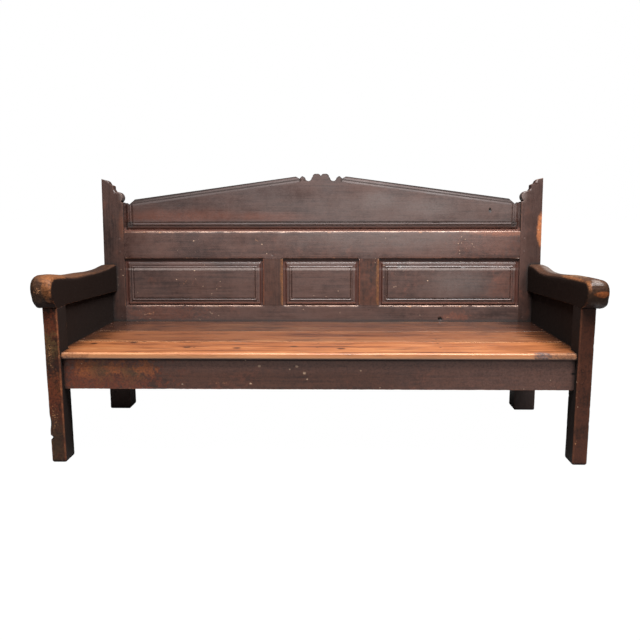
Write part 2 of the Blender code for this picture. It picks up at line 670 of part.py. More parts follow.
def arm(side, leg, leg_tenon, rear_post):
    inner, outer = SIDES[side] * LEG_INNER, SIDES[side] * ARM_OUTER
    solid = prism(arm_profile(side), "X", *sorted((inner, outer)))

    def at_post(point):
        return point.y > back_face(point.z) - MORTISE_SPARE

    def long_edge(a, b, x):
        return max(abs(a.x - x), abs(b.x - x)) < FIT and not (at_post(a) and at_post(b))

    def top_edge(a, b):
        return long_edge(a, b, inner) and min(a.z, b.z) > LEG_TOP + ARM_NOSE_LIFT / 2

    round_edges(solid, lambda a, b: long_edge(a, b, outer), ARM_ROUND, 5)
    round_edges(solid, top_edge, ARM_EASE[side], 4)
    piece = add_piece(f"arm_{side}", solid, DARK_WOOD, smooth=True)
    middle = SIDES[side] * LEG_MIDDLE
    across = grown((middle, middle), ARM_TENON_THICKNESS / 2)
    centre = (ARM_TOP + arm_underside(BACK)) / 2
    height = grown((centre, centre), ARM_TENON_HEIGHT / 2)
    reach = (back_face(centre) - LEG_DEPTH / 2, back_face(centre) + ARM_TENON_LENGTH)
    join(piece, block(across, reach, height))
    cut(rear_post, block(grown(across, FIT), grown(reach, MORTISE_SPARE), grown(height, FIT)))
    hole = (LEG_TOP - MORTISE_SPARE, LEG_TOP + LEG_TENON_LENGTH + MORTISE_SPARE)
    cut(piece, block(grown(leg_tenon[:2], FIT), grown(leg_tenon[2:], FIT), hole))
    return piece, centre


def side_panel(side, leg, arm_piece, rail_piece, rear_post):
    """A plain board in grooves: in the leg, under the arm, on the side rail and in the post."""
    middle = SIDES[side] * LEG_MIDDLE
    across = grown((middle, middle), SIDE_PANEL_THICKNESS / 2)

    def outline(reach):
        front, low = LEG_BACK - reach, FRAME_TOP - reach
        top_front, top_rear = arm_underside(LEG_BACK) + reach, arm_underside(BACK) + reach
        return [(front, low), (BACK + reach, low), (BACK + reach, SEAT_HEIGHT),
                (back_face(top_rear) + reach, top_rear), (LEG_BACK, top_front), (front, top_front)]

    add_piece(f"side_panel_{side}", prism(outline(TONGUE), "X", *across), DARK_WOOD)
    groove = prism(outline(GROOVE_DEPTH), "X", *grown(across, FIT))
    for board in (leg, arm_piece, rail_piece, rear_post):
        cut(board, groove.copy())
    groove.free()


# Pegs


def pair_about(middle, spread):
    return ("lower", middle - spread / 2), ("upper", middle + spread / 2)


def back_pegs(frame, posts, rails, muntins):
    into_frame = (0, 1, 0)
    muntin_heights = {"bottom_rail": PANEL_BOTTOM - PEG_FROM_SHOULDER,
                      "middle_rail": PANEL_TOP + PEG_FROM_SHOULDER}
    for side, post_piece in posts.items():
        x = SIDES[side] * (POST_INNER + PEG_FROM_SHOULDER)
        for name, (rail_piece, tenon) in rails.items():
            for place, z in pair_about((tenon[2] + tenon[3]) / 2, RAIL_PEG_SPREAD):
                drive_peg(f"peg_{name}_{side}_{place}", (x, 0.0, z), into_frame,
                          (post_piece, rail_piece), frame)
        muntin_piece, _, middle = muntins[side]
        for name, z in muntin_heights.items():
            drive_peg(f"peg_muntin_{side}_{name}", (middle, 0.0, z), into_frame,
                      (rails[name][0], muntin_piece), frame, MUNTIN_PEG_LENGTH)


def base_pegs(side, pieces, apron_tenon, side_tenon, into_leg, arm_middle):
    sign = SIDES[side]
    leg, rear_post, side_rail_piece = pieces["leg"], pieces["post"], pieces["side_rail"]
    x = sign * (LEG_INNER + PEG_FROM_SHOULDER)
    for place, z in pair_about((apron_tenon[2] + apron_tenon[3]) / 2, APRON_PEG_SPREAD):
        drive_peg(f"peg_apron_{side}_{place}", (x, FRONT, z), (0, 1, 0), (leg, pieces["apron"]))
    inwards, outside = (-sign, 0, 0), sign * SPAN / 2
    rail_z = (side_tenon[2] + side_tenon[3]) / 2
    drive_peg(f"peg_side_rail_{side}_front", (outside, LEG_BACK - into_leg / 2, rail_z), inwards,
              (leg, side_rail_piece))
    drive_peg(f"peg_side_rail_{side}_rear", (outside, BACK + PEG_FROM_SHOULDER, rail_z), inwards,
              (rear_post, side_rail_piece))
    into_post = back_face(arm_middle) + PEG_FROM_SHOULDER
    drive_peg(f"peg_arm_{side}_rear", (outside, into_post, arm_middle), inwards, (rear_post, pieces["arm"]))
    over_leg = (sign * ARM_OUTER, FRONT + LEG_DEPTH / 2, LEG_TOP + LEG_TENON_LENGTH / 2)
    drive_peg(f"peg_arm_{side}_front", over_leg, inwards, (pieces["arm"], leg),
              length=PEG_LENGTH + ARM_OVERHANG)


def build():
    frame = bpy.data.objects.new("back_frame", None)
    frame.location = (0.0, BACK, SEAT_HEIGHT)
    frame.rotation_euler = (-RAKE, 0.0, 0.0)
    bpy.context.scene.collection.objects.link(frame)

    posts = {side: post(side, frame) for side in SIDES}
    rails = {"bottom_rail": rail("bottom_rail", -BOTTOM_RAIL_BELOW_SEAT, BOTTOM_RAIL_ABOVE_SEAT, frame),
             "middle_rail": rail("middle_rail", PANEL_TOP, MIDDLE_TOP, frame)}
    groove_along_rail(rails["bottom_rail"][0], PANEL_BOTTOM, frame)
    groove_along_rail(rails["middle_rail"][0], PANEL_TOP, frame)
    groove_along_rail(rails["middle_rail"][0], MIDDLE_TOP, frame)
    muntins = {side: muntin(side, frame) for side in SIDES}
    for side, post_piece in posts.items():
        for _, tenon in rails.values():
            mortise_for_rail(post_piece, side, tenon, frame)
        mortise_for_muntin(rails["bottom_rail"][0], muntins[side][1], PANEL_BOTTOM, -1, frame)
        mortise_for_muntin(rails["middle_rail"][0], muntins[side][1], PANEL_TOP, 1, frame)
        fielded_panel(f"back_panel_{side}", *mirrored(side, MUNTIN_OUTER, POST_INNER), frame)
    fielded_panel("back_panel_centre", -MUNTIN_INNER, MUNTIN_INNER, frame)
    crest_panel(frame)
    back_pegs(frame, posts, rails, muntins)

    apron_piece, apron_tenon = apron()
    for side, rear_post in posts.items():
        leg, leg_tenon = front_leg(side)
        mortise_for_apron(leg, side, apron_tenon)
        rail_piece, side_tenon, into_leg = side_rail(side, leg, rear_post)
        arm_piece, arm_middle = arm(side, leg, leg_tenon, rear_post)
        side_panel(side, leg, arm_piece, rail_piece, rear_post)
        pieces = {"leg": leg, "apron": apron_piece, "side_rail": rail_piece,
                  "post": rear_post, "arm": arm_piece}
        base_pegs(side, pieces, apron_tenon, side_tenon, into_leg, arm_middle)
    for name, x in (("left", -BEARER_SPACING), ("centre", 0.0), ("right", BEARER_SPACING)):
        bearer(f"seat_bearer_{name}", x, (apron_piece, rails["bottom_rail"][0]))
    seat_planks()


for existing in list(bpy.data.objects):
    bpy.data.objects.remove(existing)
DARK_WOOD = wood("dark_painted_pine", (0.068, 0.040, 0.032), 0.45)
SEAT_WOOD = wood("worn_seat_pine", (0.330, 0.130, 0.058), 0.40)
PEG_WOOD = wood("peg_wood", (0.055, 0.032, 0.024), 0.50)
build()
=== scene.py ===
import math
import random
from dataclasses import dataclass

import bmesh
import bpy
from mathutils import Matrix, Vector, noise
from mathutils.bvhtree import BVHTree
from mathutils.kdtree import KDTree


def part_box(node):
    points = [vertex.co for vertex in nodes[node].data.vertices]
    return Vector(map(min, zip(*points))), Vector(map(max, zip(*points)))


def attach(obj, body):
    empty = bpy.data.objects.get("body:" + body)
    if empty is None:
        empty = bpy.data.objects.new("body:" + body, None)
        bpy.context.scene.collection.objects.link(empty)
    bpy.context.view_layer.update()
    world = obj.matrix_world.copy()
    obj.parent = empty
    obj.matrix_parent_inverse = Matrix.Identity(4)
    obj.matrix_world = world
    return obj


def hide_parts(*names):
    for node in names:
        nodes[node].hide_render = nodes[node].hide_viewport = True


# An old panelled settle: dark worn finish on the frame, rubbed orange pine on the seat.
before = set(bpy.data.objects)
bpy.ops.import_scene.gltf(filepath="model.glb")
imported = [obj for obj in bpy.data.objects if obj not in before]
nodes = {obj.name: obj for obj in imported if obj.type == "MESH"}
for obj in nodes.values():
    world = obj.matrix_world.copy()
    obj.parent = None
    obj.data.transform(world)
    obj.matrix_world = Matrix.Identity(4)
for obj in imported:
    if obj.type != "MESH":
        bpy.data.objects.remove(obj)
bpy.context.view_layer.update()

MM = 0.001
SIDES = ("left", "right")
X, Y, Z = 0, 1, 2

# Reading the boards
WELD = 0.02 * MM
FLAT = math.radians(0.15)  # faces closer than this are one face
ARRIS_ANGLE = math.radians(35)  # edges sharper than this wear first
SMOOTH_ANGLE = math.radians(42)
ARRIS_STEP = 4 * MM  # between the points that stand for an arris
LOOK_OUT = 1.5 * MM  # an arris is bare if this far outside it there is no other board
FLUSH = 0.6 * MM  # and if this far beside it there is none that goes on in the same plane
LONG_ARRIS = 25 * MM  # shorter ones get no cut lines of their own
CUT_LINES = (1.2 * MM, 3.4 * MM, 7.0 * MM, 12.0 * MM)  # lines beside an arris that let it be rounded
SAME_LINE = 0.5 * MM
WEAR_WIDTH = 8 * MM  # over which the arris value fades
PIT_MARGIN = 8 * MM  # around a pit, where the faces are made finer
PIT_ROUNDS = 2  # how often they are split
SKEW = Vector((0.267, 0.432, 0.861))  # no face lies along this


@dataclass
class Wear:
    """How one kind of board has been used."""

    grain: int  # axis along which the wood runs
    ease: float  # how far the arrises are rubbed back
    reach: float  # how far from an arris the rubbing goes
    wave: float = 0.4 * MM  # depth of the plane's marks
    chips: float = 2.0 * MM  # depth of the knocks in the arrises
    pitch: float = 9 * MM  # between cuts along the grain
    across: float = 14 * MM  # between cuts across it
    dish: float = 0.0  # depth of the hollows where people sat
    sharp: float = ARRIS_ANGLE  # edges sharper than this wear


RAIL = Wear(X, 3.2 * MM, 13 * MM, chips=0.5 * MM)
APRON = Wear(X, 1.6 * MM, 6 * MM)
CREST = Wear(X, 0.3 * MM, 2 * MM, chips=0.4 * MM, wave=0.5 * MM, sharp=math.radians(60))
PANEL = Wear(X, 0.25 * MM, 2 * MM, chips=0.3 * MM)
UPRIGHT = Wear(Z, 1.8 * MM, 6 * MM)
POST = Wear(Z, 1.0 * MM, 5 * MM)
LEG = Wear(Z, 1.0 * MM, 5 * MM, wave=0.8 * MM, chips=3.0 * MM, pitch=7 * MM)
PLANK = Wear(X, 1.5 * MM, 5 * MM, chips=2.5 * MM, dish=2.2 * MM)
ARM = Wear(Y, 0.8 * MM, 4 * MM, wave=0.7 * MM, pitch=7 * MM, across=10 * MM)
SIDE = Wear(Y, 0.6 * MM, 3 * MM, pitch=14 * MM)
BEARER = Wear(Y, 1.0 * MM, 4 * MM, pitch=16 * MM)

BOARDS = {
    "bottom_rail": RAIL,
    "middle_rail": RAIL,
    "apron": APRON,
    "crest_panel": CREST,
    **{f"back_panel_{place}": PANEL for place in ("left", "centre", "right")},
    **{f"muntin_{side}": UPRIGHT for side in SIDES},
    **{f"post_{side}": POST for side in SIDES},
    **{f"front_leg_{side}": LEG for side in SIDES},
    **{f"seat_plank_{place}": PLANK for place in ("front", "middle", "rear")},
    **{f"arm_{side}": ARM for side in SIDES},
    **{f"side_panel_{side}": SIDE for side in SIDES},
    **{f"side_rail_{side}": SIDE for side in SIDES},
    **{f"seat_bearer_{place}": BEARER for place in ("left", "centre", "right")},
}



@dataclass
class Pit:
    """A hole, knock or notch in a board."""

    centre: tuple
    radius: tuple  # along X, Y and Z
    depth: float
    way: tuple  # into the wood

    def depth_at(self, place):
        """From 0 at its rim to 1 in its middle."""
        offset = [(a - b) / r for a, b, r in zip(place, self.centre, self.radius)]
        return max(0.0, 1 - sum(d * d for d in offset)) ** 1.5


PITS = {
    "bottom_rail": (Pit((0.527, 0.321, 0.4170), (0.012, 0.02, 0.0065), 6 * MM, (0, 1, 0)),),
    "crest_panel": (
        Pit((0.735, 0.352, 0.892), (0.006, 0.02, 0.010), 2.5 * MM, (0, 1, 0)),
    ),
    "front_leg_left": (
        Pit((-0.960, -0.350, 0.094), (0.014, 0.03, 0.009), 7 * MM, (1, 0.3, 0)),
        Pit((-0.960, -0.350, 0.150), (0.010, 0.02, 0.030), 3 * MM, (1, 0.3, 0)),
    ),
    "apron": (Pit((0.905, -0.3315, 0.329), (0.016, 0.01, 0.0022), 2 * MM, (0, 1, 0)),),
    "seat_plank_front": (Pit((0.790, -0.3485, 0.398), (0.024, 0.02, 0.010), 2.5 * MM, (0, 1, 0)),),
}

SEATS = (-0.56, 0.02, 0.58)  # where people sat, along the bench
SEAT_SPREAD = 0.24
SEAT_MIDDLE = -0.10
SEAT_DEPTH = 0.20


def unit(axis):
    """The unit vector along one axis."""
    way = Vector((0, 0, 0))
    way[axis] = 1
    return way


def solid_tree(node):
    """A tree of one CAD node's faces."""
    mesh = nodes[node].data
    return BVHTree.FromPolygons([v.co for v in mesh.vertices], [p.vertices for p in mesh.polygons])


TREES = {name: solid_tree(name) for name in nodes}
BOXES = {name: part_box(name) for name in nodes}


def in_solid(name, point):
    """True where a point lies in a CAD node: a ray from it leaves through an odd number of faces."""
    low, high = BOXES[name]
    if any(point[i] < low[i] or point[i] > high[i] for i in range(3)):
        return False
    hits = 0
    start = point
    while True:
        place = TREES[name].ray_cast(start, SKEW)[0]
        if place is None:
            return hits % 2 == 1
        hits += 1
        start = place + SKEW * 1e-6


def neighbours(name):
    """The CAD nodes whose boxes touch this one's."""
    low, high = BOXES[name]
    return [
        other
        for other, (least, most) in BOXES.items()
        if other != name and all(least[i] < high[i] + LOOK_OUT and most[i] > low[i] - LOOK_OUT for i in range(3))
    ]


def board_mesh(name):
    """The CAD board as one closed mesh with whole faces."""
    bm = bmesh.new()
    bm.from_mesh(nodes[name].data)
    bmesh.ops.remove_doubles(bm, verts=bm.verts[:], dist=WELD)
    bmesh.ops.dissolve_limit(bm, angle_limit=FLAT, verts=bm.verts[:], edges=bm.edges[:])
    bm.normal_update()
    return bm


def find_arrises(bm, name, sharp):
    """Points on the bare sharp edges, each with its way into the wood, and the lines to cut beside them."""
    near = neighbours(name)
    points, lines = [], {}
    for edge in bm.edges:
        if len(edge.link_faces) != 2 or not edge.is_convex or edge.calc_face_angle() < sharp:
            continue
        one, two = (face.normal for face in edge.link_faces)
        out = (one + two).normalized()
        looks = (out * LOOK_OUT, (one - two) * FLUSH, (two - one) * FLUSH)
        start, end = (v.co for v in edge.verts)
        steps = max(1, math.ceil((end - start).length / ARRIS_STEP))
        bare = 0
        for k in range(steps + 1):
            place = start.lerp(end, k / steps)
            if not any(in_solid(other, place + look) for other in near for look in looks):
                points.append((place, -out))
                bare += 1
        if bare * ARRIS_STEP < LONG_ARRIS:
            continue
        for loop in edge.link_loops:
            along = (loop.link_loop_next.vert.co - loop.vert.co).normalized()
            inward = loop.face.normal.cross(along).normalized()
            for offset in CUT_LINES:
                level = start.dot(inward) + offset
                key = tuple(round(c * 50) for c in inward) + (round(level / SAME_LINE),)
                lines[key] = (inward, level)
    return points, lines.values()


def whole(bm):
    """Everything in a mesh, as a cut takes it."""
    return bm.verts[:] + bm.edges[:] + bm.faces[:]


def slice_along(bm, axis, pitch, rng):
    """Cuts the board across an axis at uneven steps. Each cut goes only through what is still uncut."""
    heights = [v.co[axis] for v in bm.verts]
    low, high = min(heights), max(heights)
    faces = set(bm.faces)
    cut = low + pitch * rng.uniform(0.6, 1.0)
    while cut < high - pitch * 0.4:
        parts = list(faces)
        parts += list({e for f in faces for e in f.edges})
        parts += list({v for f in faces for v in f.verts})
        made = bmesh.ops.bisect_plane(bm, geom=parts, dist=1e-6, plane_co=unit(axis) * cut, plane_no=unit(axis))
        edges = [e for e in made["geom_cut"] if isinstance(e, bmesh.types.BMEdge)]
        faces = {f for f in faces if f.is_valid} | {f for e in edges for f in e.link_faces}
        faces = {f for f in faces if f.calc_center_median()[axis] > cut}
        cut += pitch * rng.uniform(0.75, 1.25)


def refine(bm, pits):
    """Finer faces around each pit."""
    for pit in pits:
        wide = Pit(pit.centre, [r + PIT_MARGIN for r in pit.radius], 0.0, pit.way)
        for _ in range(PIT_ROUNDS):
            near = [f for f in bm.faces if wide.depth_at(f.calc_center_median()) > 0]
            flat = bmesh.ops.triangulate(bm, faces=near)["faces"]
            bmesh.ops.subdivide_edges(bm, edges=list({e for f in flat for e in f.edges}), cuts=1)


def sat_on(place):
    """From 0 to 1: how far people have worn the seat hollow here."""
    depth = math.exp(-(((place.y - SEAT_MIDDLE) / SEAT_DEPTH) ** 2))
    return depth * max(math.exp(-(((place.x - x) / SEAT_SPREAD) ** 2)) for x in SEATS)


# The arms as they are now: how far hands and knocks have changed the line of their tops, (y, up) in metres
ARM_LINE = {
    "left": ((-0.45, 10.0 * MM), (-0.08, 10.5 * MM), (0.22, -4.5 * MM), (0.33, 0.0)),
    "right": ((-0.45, 9.0 * MM), (-0.17, 9.0 * MM), (0.17, -9.0 * MM), (0.29, 0.0)),
}
ARM_LINE_LOW, ARM_LINE_HIGH = 0.590, 0.640  # the change grows from nothing to its full size between these
ARM_ROLL = {"left": (0.040, 13 * MM), "right": (0.022, 6 * MM)}  # how wide and deep the inner edge is rolled
ROLL_END = (-0.15, 0.22)  # the roll fades towards the rear
NOSE_CORNER = 10 * MM  # how much fuller the lower outer corner of a nose is
NOSE_WIDE = 4 * MM
NOSE_START, NOSE_LOW, NOSE_OUT = -0.33, 0.605, 0.955
ARM_INNER = 0.906


def eased_step(value, low, high):
    """0 below low, 1 above high, and a smooth step between them."""
    share = min(1.0, max(0.0, (value - low) / (high - low)))
    return share * share * (3 - 2 * share)


def line_at(line, y):
    """The height of a smooth line through (y, height) points."""
    height = line[0][1]
    for (start, low), (end, high) in zip(line, line[1:]):
        if y > start:
            height = low + (high - low) * eased_step(y, start, end)
    return height


def shape_arm(bm, side):
    """Gives a worn arm its present top line and the fuller corner of its nose."""
    for v in bm.verts:
        x, y, z = v.co
        corner = eased_step(abs(x), NOSE_OUT, NOSE_OUT + 0.03) * eased_step(-z, -NOSE_LOW, 0.02 - NOSE_LOW)
        corner *= eased_step(-y, -NOSE_START, 0.04 - NOSE_START)
        upper = eased_step(z, ARM_LINE_LOW, ARM_LINE_HIGH)
        wide, deep = ARM_ROLL[side]
        roll = max(0.0, 1 - (abs(x) - ARM_INNER) / wide) ** 2 * deep * (1 - eased_step(y, *ROLL_END))
        v.co.z += (line_at(ARM_LINE[side], y) - roll) * upper - NOSE_CORNER * corner
        v.co.x += math.copysign(NOSE_WIDE * corner, x)


# Old varnish in the quirk along the top of a panel's field
FILL_LOW, FILL_HIGH = 0.6365, 0.6408
FIELD_TOP = (0.336, 0.636)  # upper edge of the field, y and z
LEAN = 0.085  # how far the back goes backwards as it rises
FILL_SHY = 0.4 * MM
FILL_SIDE = 0.051  # from the end of the panel to its field


def fill_quirk(bm, name):
    """Fills the top quirk of a panel nearly up to its field."""
    low, high = BOXES[name]
    for v in bm.verts:
        on_field = low[X] + FILL_SIDE < v.co.x < high[X] - FILL_SIDE
        if on_field and FILL_LOW < v.co.z < FILL_HIGH and v.normal.y < 0:
            level = FIELD_TOP[0] + (v.co.z - FIELD_TOP[1]) * LEAN + FILL_SHY
            v.co.y = min(v.co.y, level)


def wear_down(bm, points, wear, pits, seed):
    """Moves the surface inwards only: plane marks on the faces, and rubbed and chipped arrises."""
    tree = KDTree(len(points))
    for i, (place, _) in enumerate(points):
        tree.insert(place, i)
    tree.balance()
    arris = bm.verts.layers.float.new("arris")
    chipped = bm.verts.layers.float.new("chipped")
    pitted = bm.verts.layers.float.new("pitted")
    shift = Vector((seed * 3.1, seed * 1.7, seed * 2.3))
    bm.normal_update()
    moves = []
    for v in bm.verts:
        place = v.co
        own = place + shift
        _, index, distance = tree.find(place) if points else (None, None, math.inf)
        close = max(0.0, 1 - distance / wear.reach) ** 2
        rubbed = wear.ease * (0.65 + 0.35 * noise.noise(own * 16))
        knock = max(0.0, noise.noise(own * 62) + 0.45 * noise.noise(own * 21) - 0.42)
        chip = wear.chips * min(1.0, knock * 2.2)
        plane_mark = wear.wave * (0.5 + 0.5 * noise.noise(own * 9))
        if wear.dish and v.normal.z > 0.7:
            plane_mark += wear.dish * sat_on(place)
        into = points[index][1] if points else Vector()
        move = into * (close * (rubbed + chip)) - v.normal * plane_mark
        for pit in pits:
            deep = pit.depth_at(place)
            move += Vector(pit.way).normalized() * (pit.depth * deep)
            v[pitted] = max(v[pitted], deep)
        moves.append(move)
        v[arris] = max(0.0, 1 - distance / WEAR_WIDTH)
        v[chipped] = min(1.0, knock * 3) * max(0.0, 1 - distance / wear.reach)
    for v, move in zip(bm.verts, moves):
        v.co += move


def worn_board(name, wear, seed):
    """A used copy of one CAD board, in its place."""
    rng = random.Random(seed)
    bm = board_mesh(name)
    points, lines = find_arrises(bm, name, wear.sharp)
    for inward, level in lines:
        bmesh.ops.bisect_plane(bm, geom=whole(bm), dist=1e-6, plane_co=inward * level, plane_no=inward)
    for axis in (X, Y, Z):
        if axis != wear.grain:
            slice_along(bm, axis, wear.across, rng)
    slice_along(bm, wear.grain, wear.pitch, rng)
    pits = PITS.get(name, ())
    refine(bm, pits)
    wear_down(bm, points, wear, pits, seed)
    if name.startswith("arm_"):
        shape_arm(bm, name.split("_")[-1])
    if name.startswith("back_panel"):
        fill_quirk(bm, name)
    for face in bm.faces:
        face.smooth = True
    mesh = bpy.data.meshes.new(f"worn_{name}")
    bm.to_mesh(mesh)
    bm.free()
    mesh.set_sharp_from_angle(angle=SMOOTH_ANGLE)
    piece = bpy.data.objects.new(f"worn_{name}", mesh)
    bpy.context.scene.collection.objects.link(piece)
    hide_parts(name)
    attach(piece, "root")
    return piece


class Graph:
    """The node tree of one material, written as short calls."""

    def __init__(self, name):
        self.material = bpy.data.materials.new(name)
        self.material.use_nodes = True
        self.tree = self.material.node_tree
        self.tree.nodes.clear()
        self.shader = self.add("ShaderNodeBsdfPrincipled")
        self.output = self.add("ShaderNodeOutputMaterial")
        self.tree.links.new(self.shader.outputs[0], self.output.inputs["Surface"])
        self.place = self.add("ShaderNodeTexCoord").outputs["Object"]

    def add(self, kind, **settings):
        node = self.tree.nodes.new(kind)
        for key, value in settings.items():
            setattr(node, key, value)
        return node

    def feed(self, socket, value):
        if isinstance(value, bpy.types.NodeSocket):
            self.tree.links.new(value, socket)
        elif socket.type == "RGBA":
            socket.default_value = (*value, 1)
        else:
            socket.default_value = value

    def math(self, operation, a, b=0.0, clamp=False):
        node = self.add("ShaderNodeMath", operation=operation, use_clamp=clamp)
        self.feed(node.inputs[0], a)
        self.feed(node.inputs[1], b)
        return node.outputs[0]

    def add_up(self, *parts):
        """The sum of (value, share) pairs."""
        total = None
        for value, share in parts:
            part = self.math("MULTIPLY", value, share)
            total = part if total is None else self.math("ADD", total, part)
        return total

    def vector(self, operation, a, b, output=0):
        node = self.add("ShaderNodeVectorMath", operation=operation)
        self.feed(node.inputs[0], a)
        self.feed(node.inputs[1], b)
        return node.outputs[output]

    def mapped(self, vector, scale=(1, 1, 1), location=(0, 0, 0)):
        node = self.add("ShaderNodeMapping")
        self.feed(node.inputs["Vector"], vector)
        node.inputs["Scale"].default_value = scale
        node.inputs["Location"].default_value = location
        return node.outputs[0]

    def noise(self, vector, scale, detail=4, roughness=0.55, distortion=0.0):
        node = self.add("ShaderNodeTexNoise")
        self.feed(node.inputs["Vector"], vector)
        node.inputs["Scale"].default_value = scale
        node.inputs["Detail"].default_value = detail
        node.inputs["Roughness"].default_value = roughness
        node.inputs["Distortion"].default_value = distortion
        return node.outputs[0]

    def cells(self, vector, scale):
        node = self.add("ShaderNodeTexVoronoi")
        self.feed(node.inputs["Vector"], vector)
        node.inputs["Scale"].default_value = scale
        return node

    def between(self, value, low, high):
        """0 below low, 1 above high, and a smooth step between them."""
        node = self.add("ShaderNodeMapRange", interpolation_type="SMOOTHSTEP")
        self.feed(node.inputs["Value"], value)
        node.inputs["From Min"].default_value = low
        node.inputs["From Max"].default_value = high
        return node.outputs[0]

    def mix(self, share, a, b):
        """Colour a, turning to b as share goes to 1."""
        node = self.add("ShaderNodeMix", data_type="RGBA")
        self.feed(node.inputs[0], share)
        self.feed(node.inputs[6], a)
        self.feed(node.inputs[7], b)
        return node.outputs[2]

    def attribute(self, name):
        node = self.add("ShaderNodeAttribute", attribute_name=name)
        return node.outputs["Fac"]

    def part(self, vector, axis):
        return self.add_separate(vector).outputs[axis]

    def add_separate(self, vector):
        node = self.add("ShaderNodeSeparateXYZ")
        self.feed(node.inputs[0], vector)
        return node

    def bump(self, *layers):
        """Bump of (height, depth in metres) layers, one on the other."""
        normal = None
        for height, depth in layers:
            node = self.add("ShaderNodeBump")
            self.feed(node.inputs["Height"], height)
            node.inputs["Distance"].default_value = depth
            if normal is not None:
                self.feed(node.inputs["Normal"], normal)
            normal = node.outputs[0]
        self.feed(self.shader.inputs["Normal"], normal)

    def spot(self, patch):
        """From 0 to 1: inside a patch's oval with its ragged edge."""
        offset = self.vector("SUBTRACT", self.place, patch.centre)
        offset = self.vector("DIVIDE", offset, patch.radius)
        length = self.vector("LENGTH", offset, (0, 0, 0), output=1)
        rag = self.noise(self.place, patch.scale, detail=6, roughness=0.65)
        edge = self.add_up((rag, patch.ragged), (length, -1.0))
        middle = patch.ragged * 0.5 - 1.0 + patch.sparse
        inside = self.between(edge, middle - patch.soft, middle + patch.soft)
        speck = self.between(self.noise(self.place, 120, detail=5, roughness=0.7), 0.40, 0.60)
        kept = self.math("SUBTRACT", 1.0, self.math("MULTIPLY", speck, patch.broken))
        return self.math("MULTIPLY", inside, kept)


@dataclass
class Patch:
    """One mark on a board: an oval of another colour with a ragged edge."""

    centre: tuple
    radius: tuple
    paint: tuple
    strength: float = 0.85
    ragged: float = 1.2
    scale: float = 45
    soft: float = 0.25
    broken: float = 0.6  # how much the old finish shows through as specks
    sparse: float = 0.0  # how much of the oval is left out
    dull: float = 0.0  # how much rougher it is than the rest


@dataclass
class Look:
    """How the dark finish of one board has aged, and where light and shade are painted on it."""

    tone: float = 1.0  # lighter or darker than the rest
    red: float = 0.0  # how much of it is rubbed red
    wear: float = 1.0  # how bare the arrises are
    lit: float = 0.0  # how strong the painted highlight on the worn upper arrises is
    warm: float = 0.0  # how much browner than the rest
    gloss: float = 1.0  # how much of the varnish's shine is left
    coat: float = 0.3  # how much of its hard upper layer is left
    relief: float = 1.0  # how uneven the surface is
    arris_dark: float = 0.0  # how dark the arrises are
    hands: float = 0.0  # how far hands have rubbed the upper side
    raw: float = 1.0  # how bare the rear side is
    flecks: float = 0.5  # how strong the small chips in the finish are
    darkening: float = 1.0  # how dark the tight corners are painted: shade and dirt
    shelf: float = 0.0  # how dull the slopes that face up are, and how dark with painted shade
    scuff: float = 0.0  # how spotted with dark knocks
    rake: bool = False  # whether it has the dark raking edges
    shaded_opening: tuple = ()  # the left, right and upper edges of an opening with a border of painted shade
    inside: int = 0  # the way along X to the middle of the bench, for boards that are black on that side
    rim: float = 0.0  # how bare the lowest arrises of an arm are
    cloud: float = 0.15  # how much the shine comes and goes
    patches: tuple = ()


# Colours, linear
UMBER = (0.022, 0.010, 0.008)
BROWN = (0.066, 0.030, 0.022)
WARM = (0.076, 0.026, 0.013)
RUSSET = (0.130, 0.040, 0.022)
# Near-black: soot, and painted shade in corners, quirks and under the noses
SOOT_AND_SHADE = (0.010, 0.005, 0.0035)
RUBBED = (0.270, 0.085, 0.032)
BARE = (0.520, 0.240, 0.110)
# Painted highlight on worn upper arrises
UPPER_ARRIS_HIGHLIGHT = (0.760, 0.500, 0.380)
CREAM = (0.620, 0.420, 0.280)
# Painted shade in recesses
RECESS_SHADE = (0.052, 0.015, 0.009)
# Painted sheen
PAINTED_SHEEN = (0.080, 0.062, 0.056)
SLATE = (0.040, 0.036, 0.042)
HANDLED = (0.100, 0.042, 0.020)
RAW_DARK = (0.040, 0.024, 0.016)
RAW_LIGHT = (0.120, 0.078, 0.052)
SQUEEZE = 26  # how much longer than wide the streaks of the wood are


def squeezed(g, seed, grain, squeeze=SQUEEZE):
    """Coordinates that run fast across the grain and slowly along it, at a board's own place in the wood."""
    scale = [squeeze] * 3
    scale[grain] = 1.0
    return g.mapped(g.place, scale, (seed * 1.31, seed * 0.77, seed * 2.13))


def blended(a, b, share):
    return [x + (y - x) * share for x, y in zip(a, b)]


def toned(colour, tone):
    return [c * tone for c in colour]


def corner_shade_and_grime(g, distance):
    """0 in tight corners and 1 in the open: painted shade and dirt go where it is low."""
    node = g.add("ShaderNodeAmbientOcclusion", samples=6)
    node.inputs["Distance"].default_value = distance
    return g.between(node.outputs["AO"], 0.55, 0.90)


def facing(g, axis):
    """How far the surface faces along an axis, from -1 to 1."""
    return g.part(g.add("ShaderNodeNewGeometry").outputs["Normal"], axis)


RECESS_IN, RECESS_OUT = 0.014, 0.019  # the painted shade border fades between these, from the edge of the opening
RECESS_TOP = 1.35  # how much narrower it is along the top
RIM_LOW, RIM_HIGH = 0.575, 0.610  # the lower arrises of an arm are below these
LIT_FROM = (-0.87, -0.70)  # the painted highlight on the upper arrises of the rails grows between these, from the left


def shaded_border(g, opening):
    """1 along the sides and the top of an opening and 0 inside it: where shade is painted beside the proud frame."""
    left, right, top = opening
    x, z = g.part(g.place, X), g.part(g.place, Z)
    away = g.math("MINIMUM", g.math("SUBTRACT", x, left), g.math("SUBTRACT", right, x))
    away = g.math("MINIMUM", away, g.math("MULTIPLY", g.math("SUBTRACT", top, z), RECESS_TOP))
    return g.math("SUBTRACT", 1.0, g.between(away, RECESS_IN, RECESS_OUT))


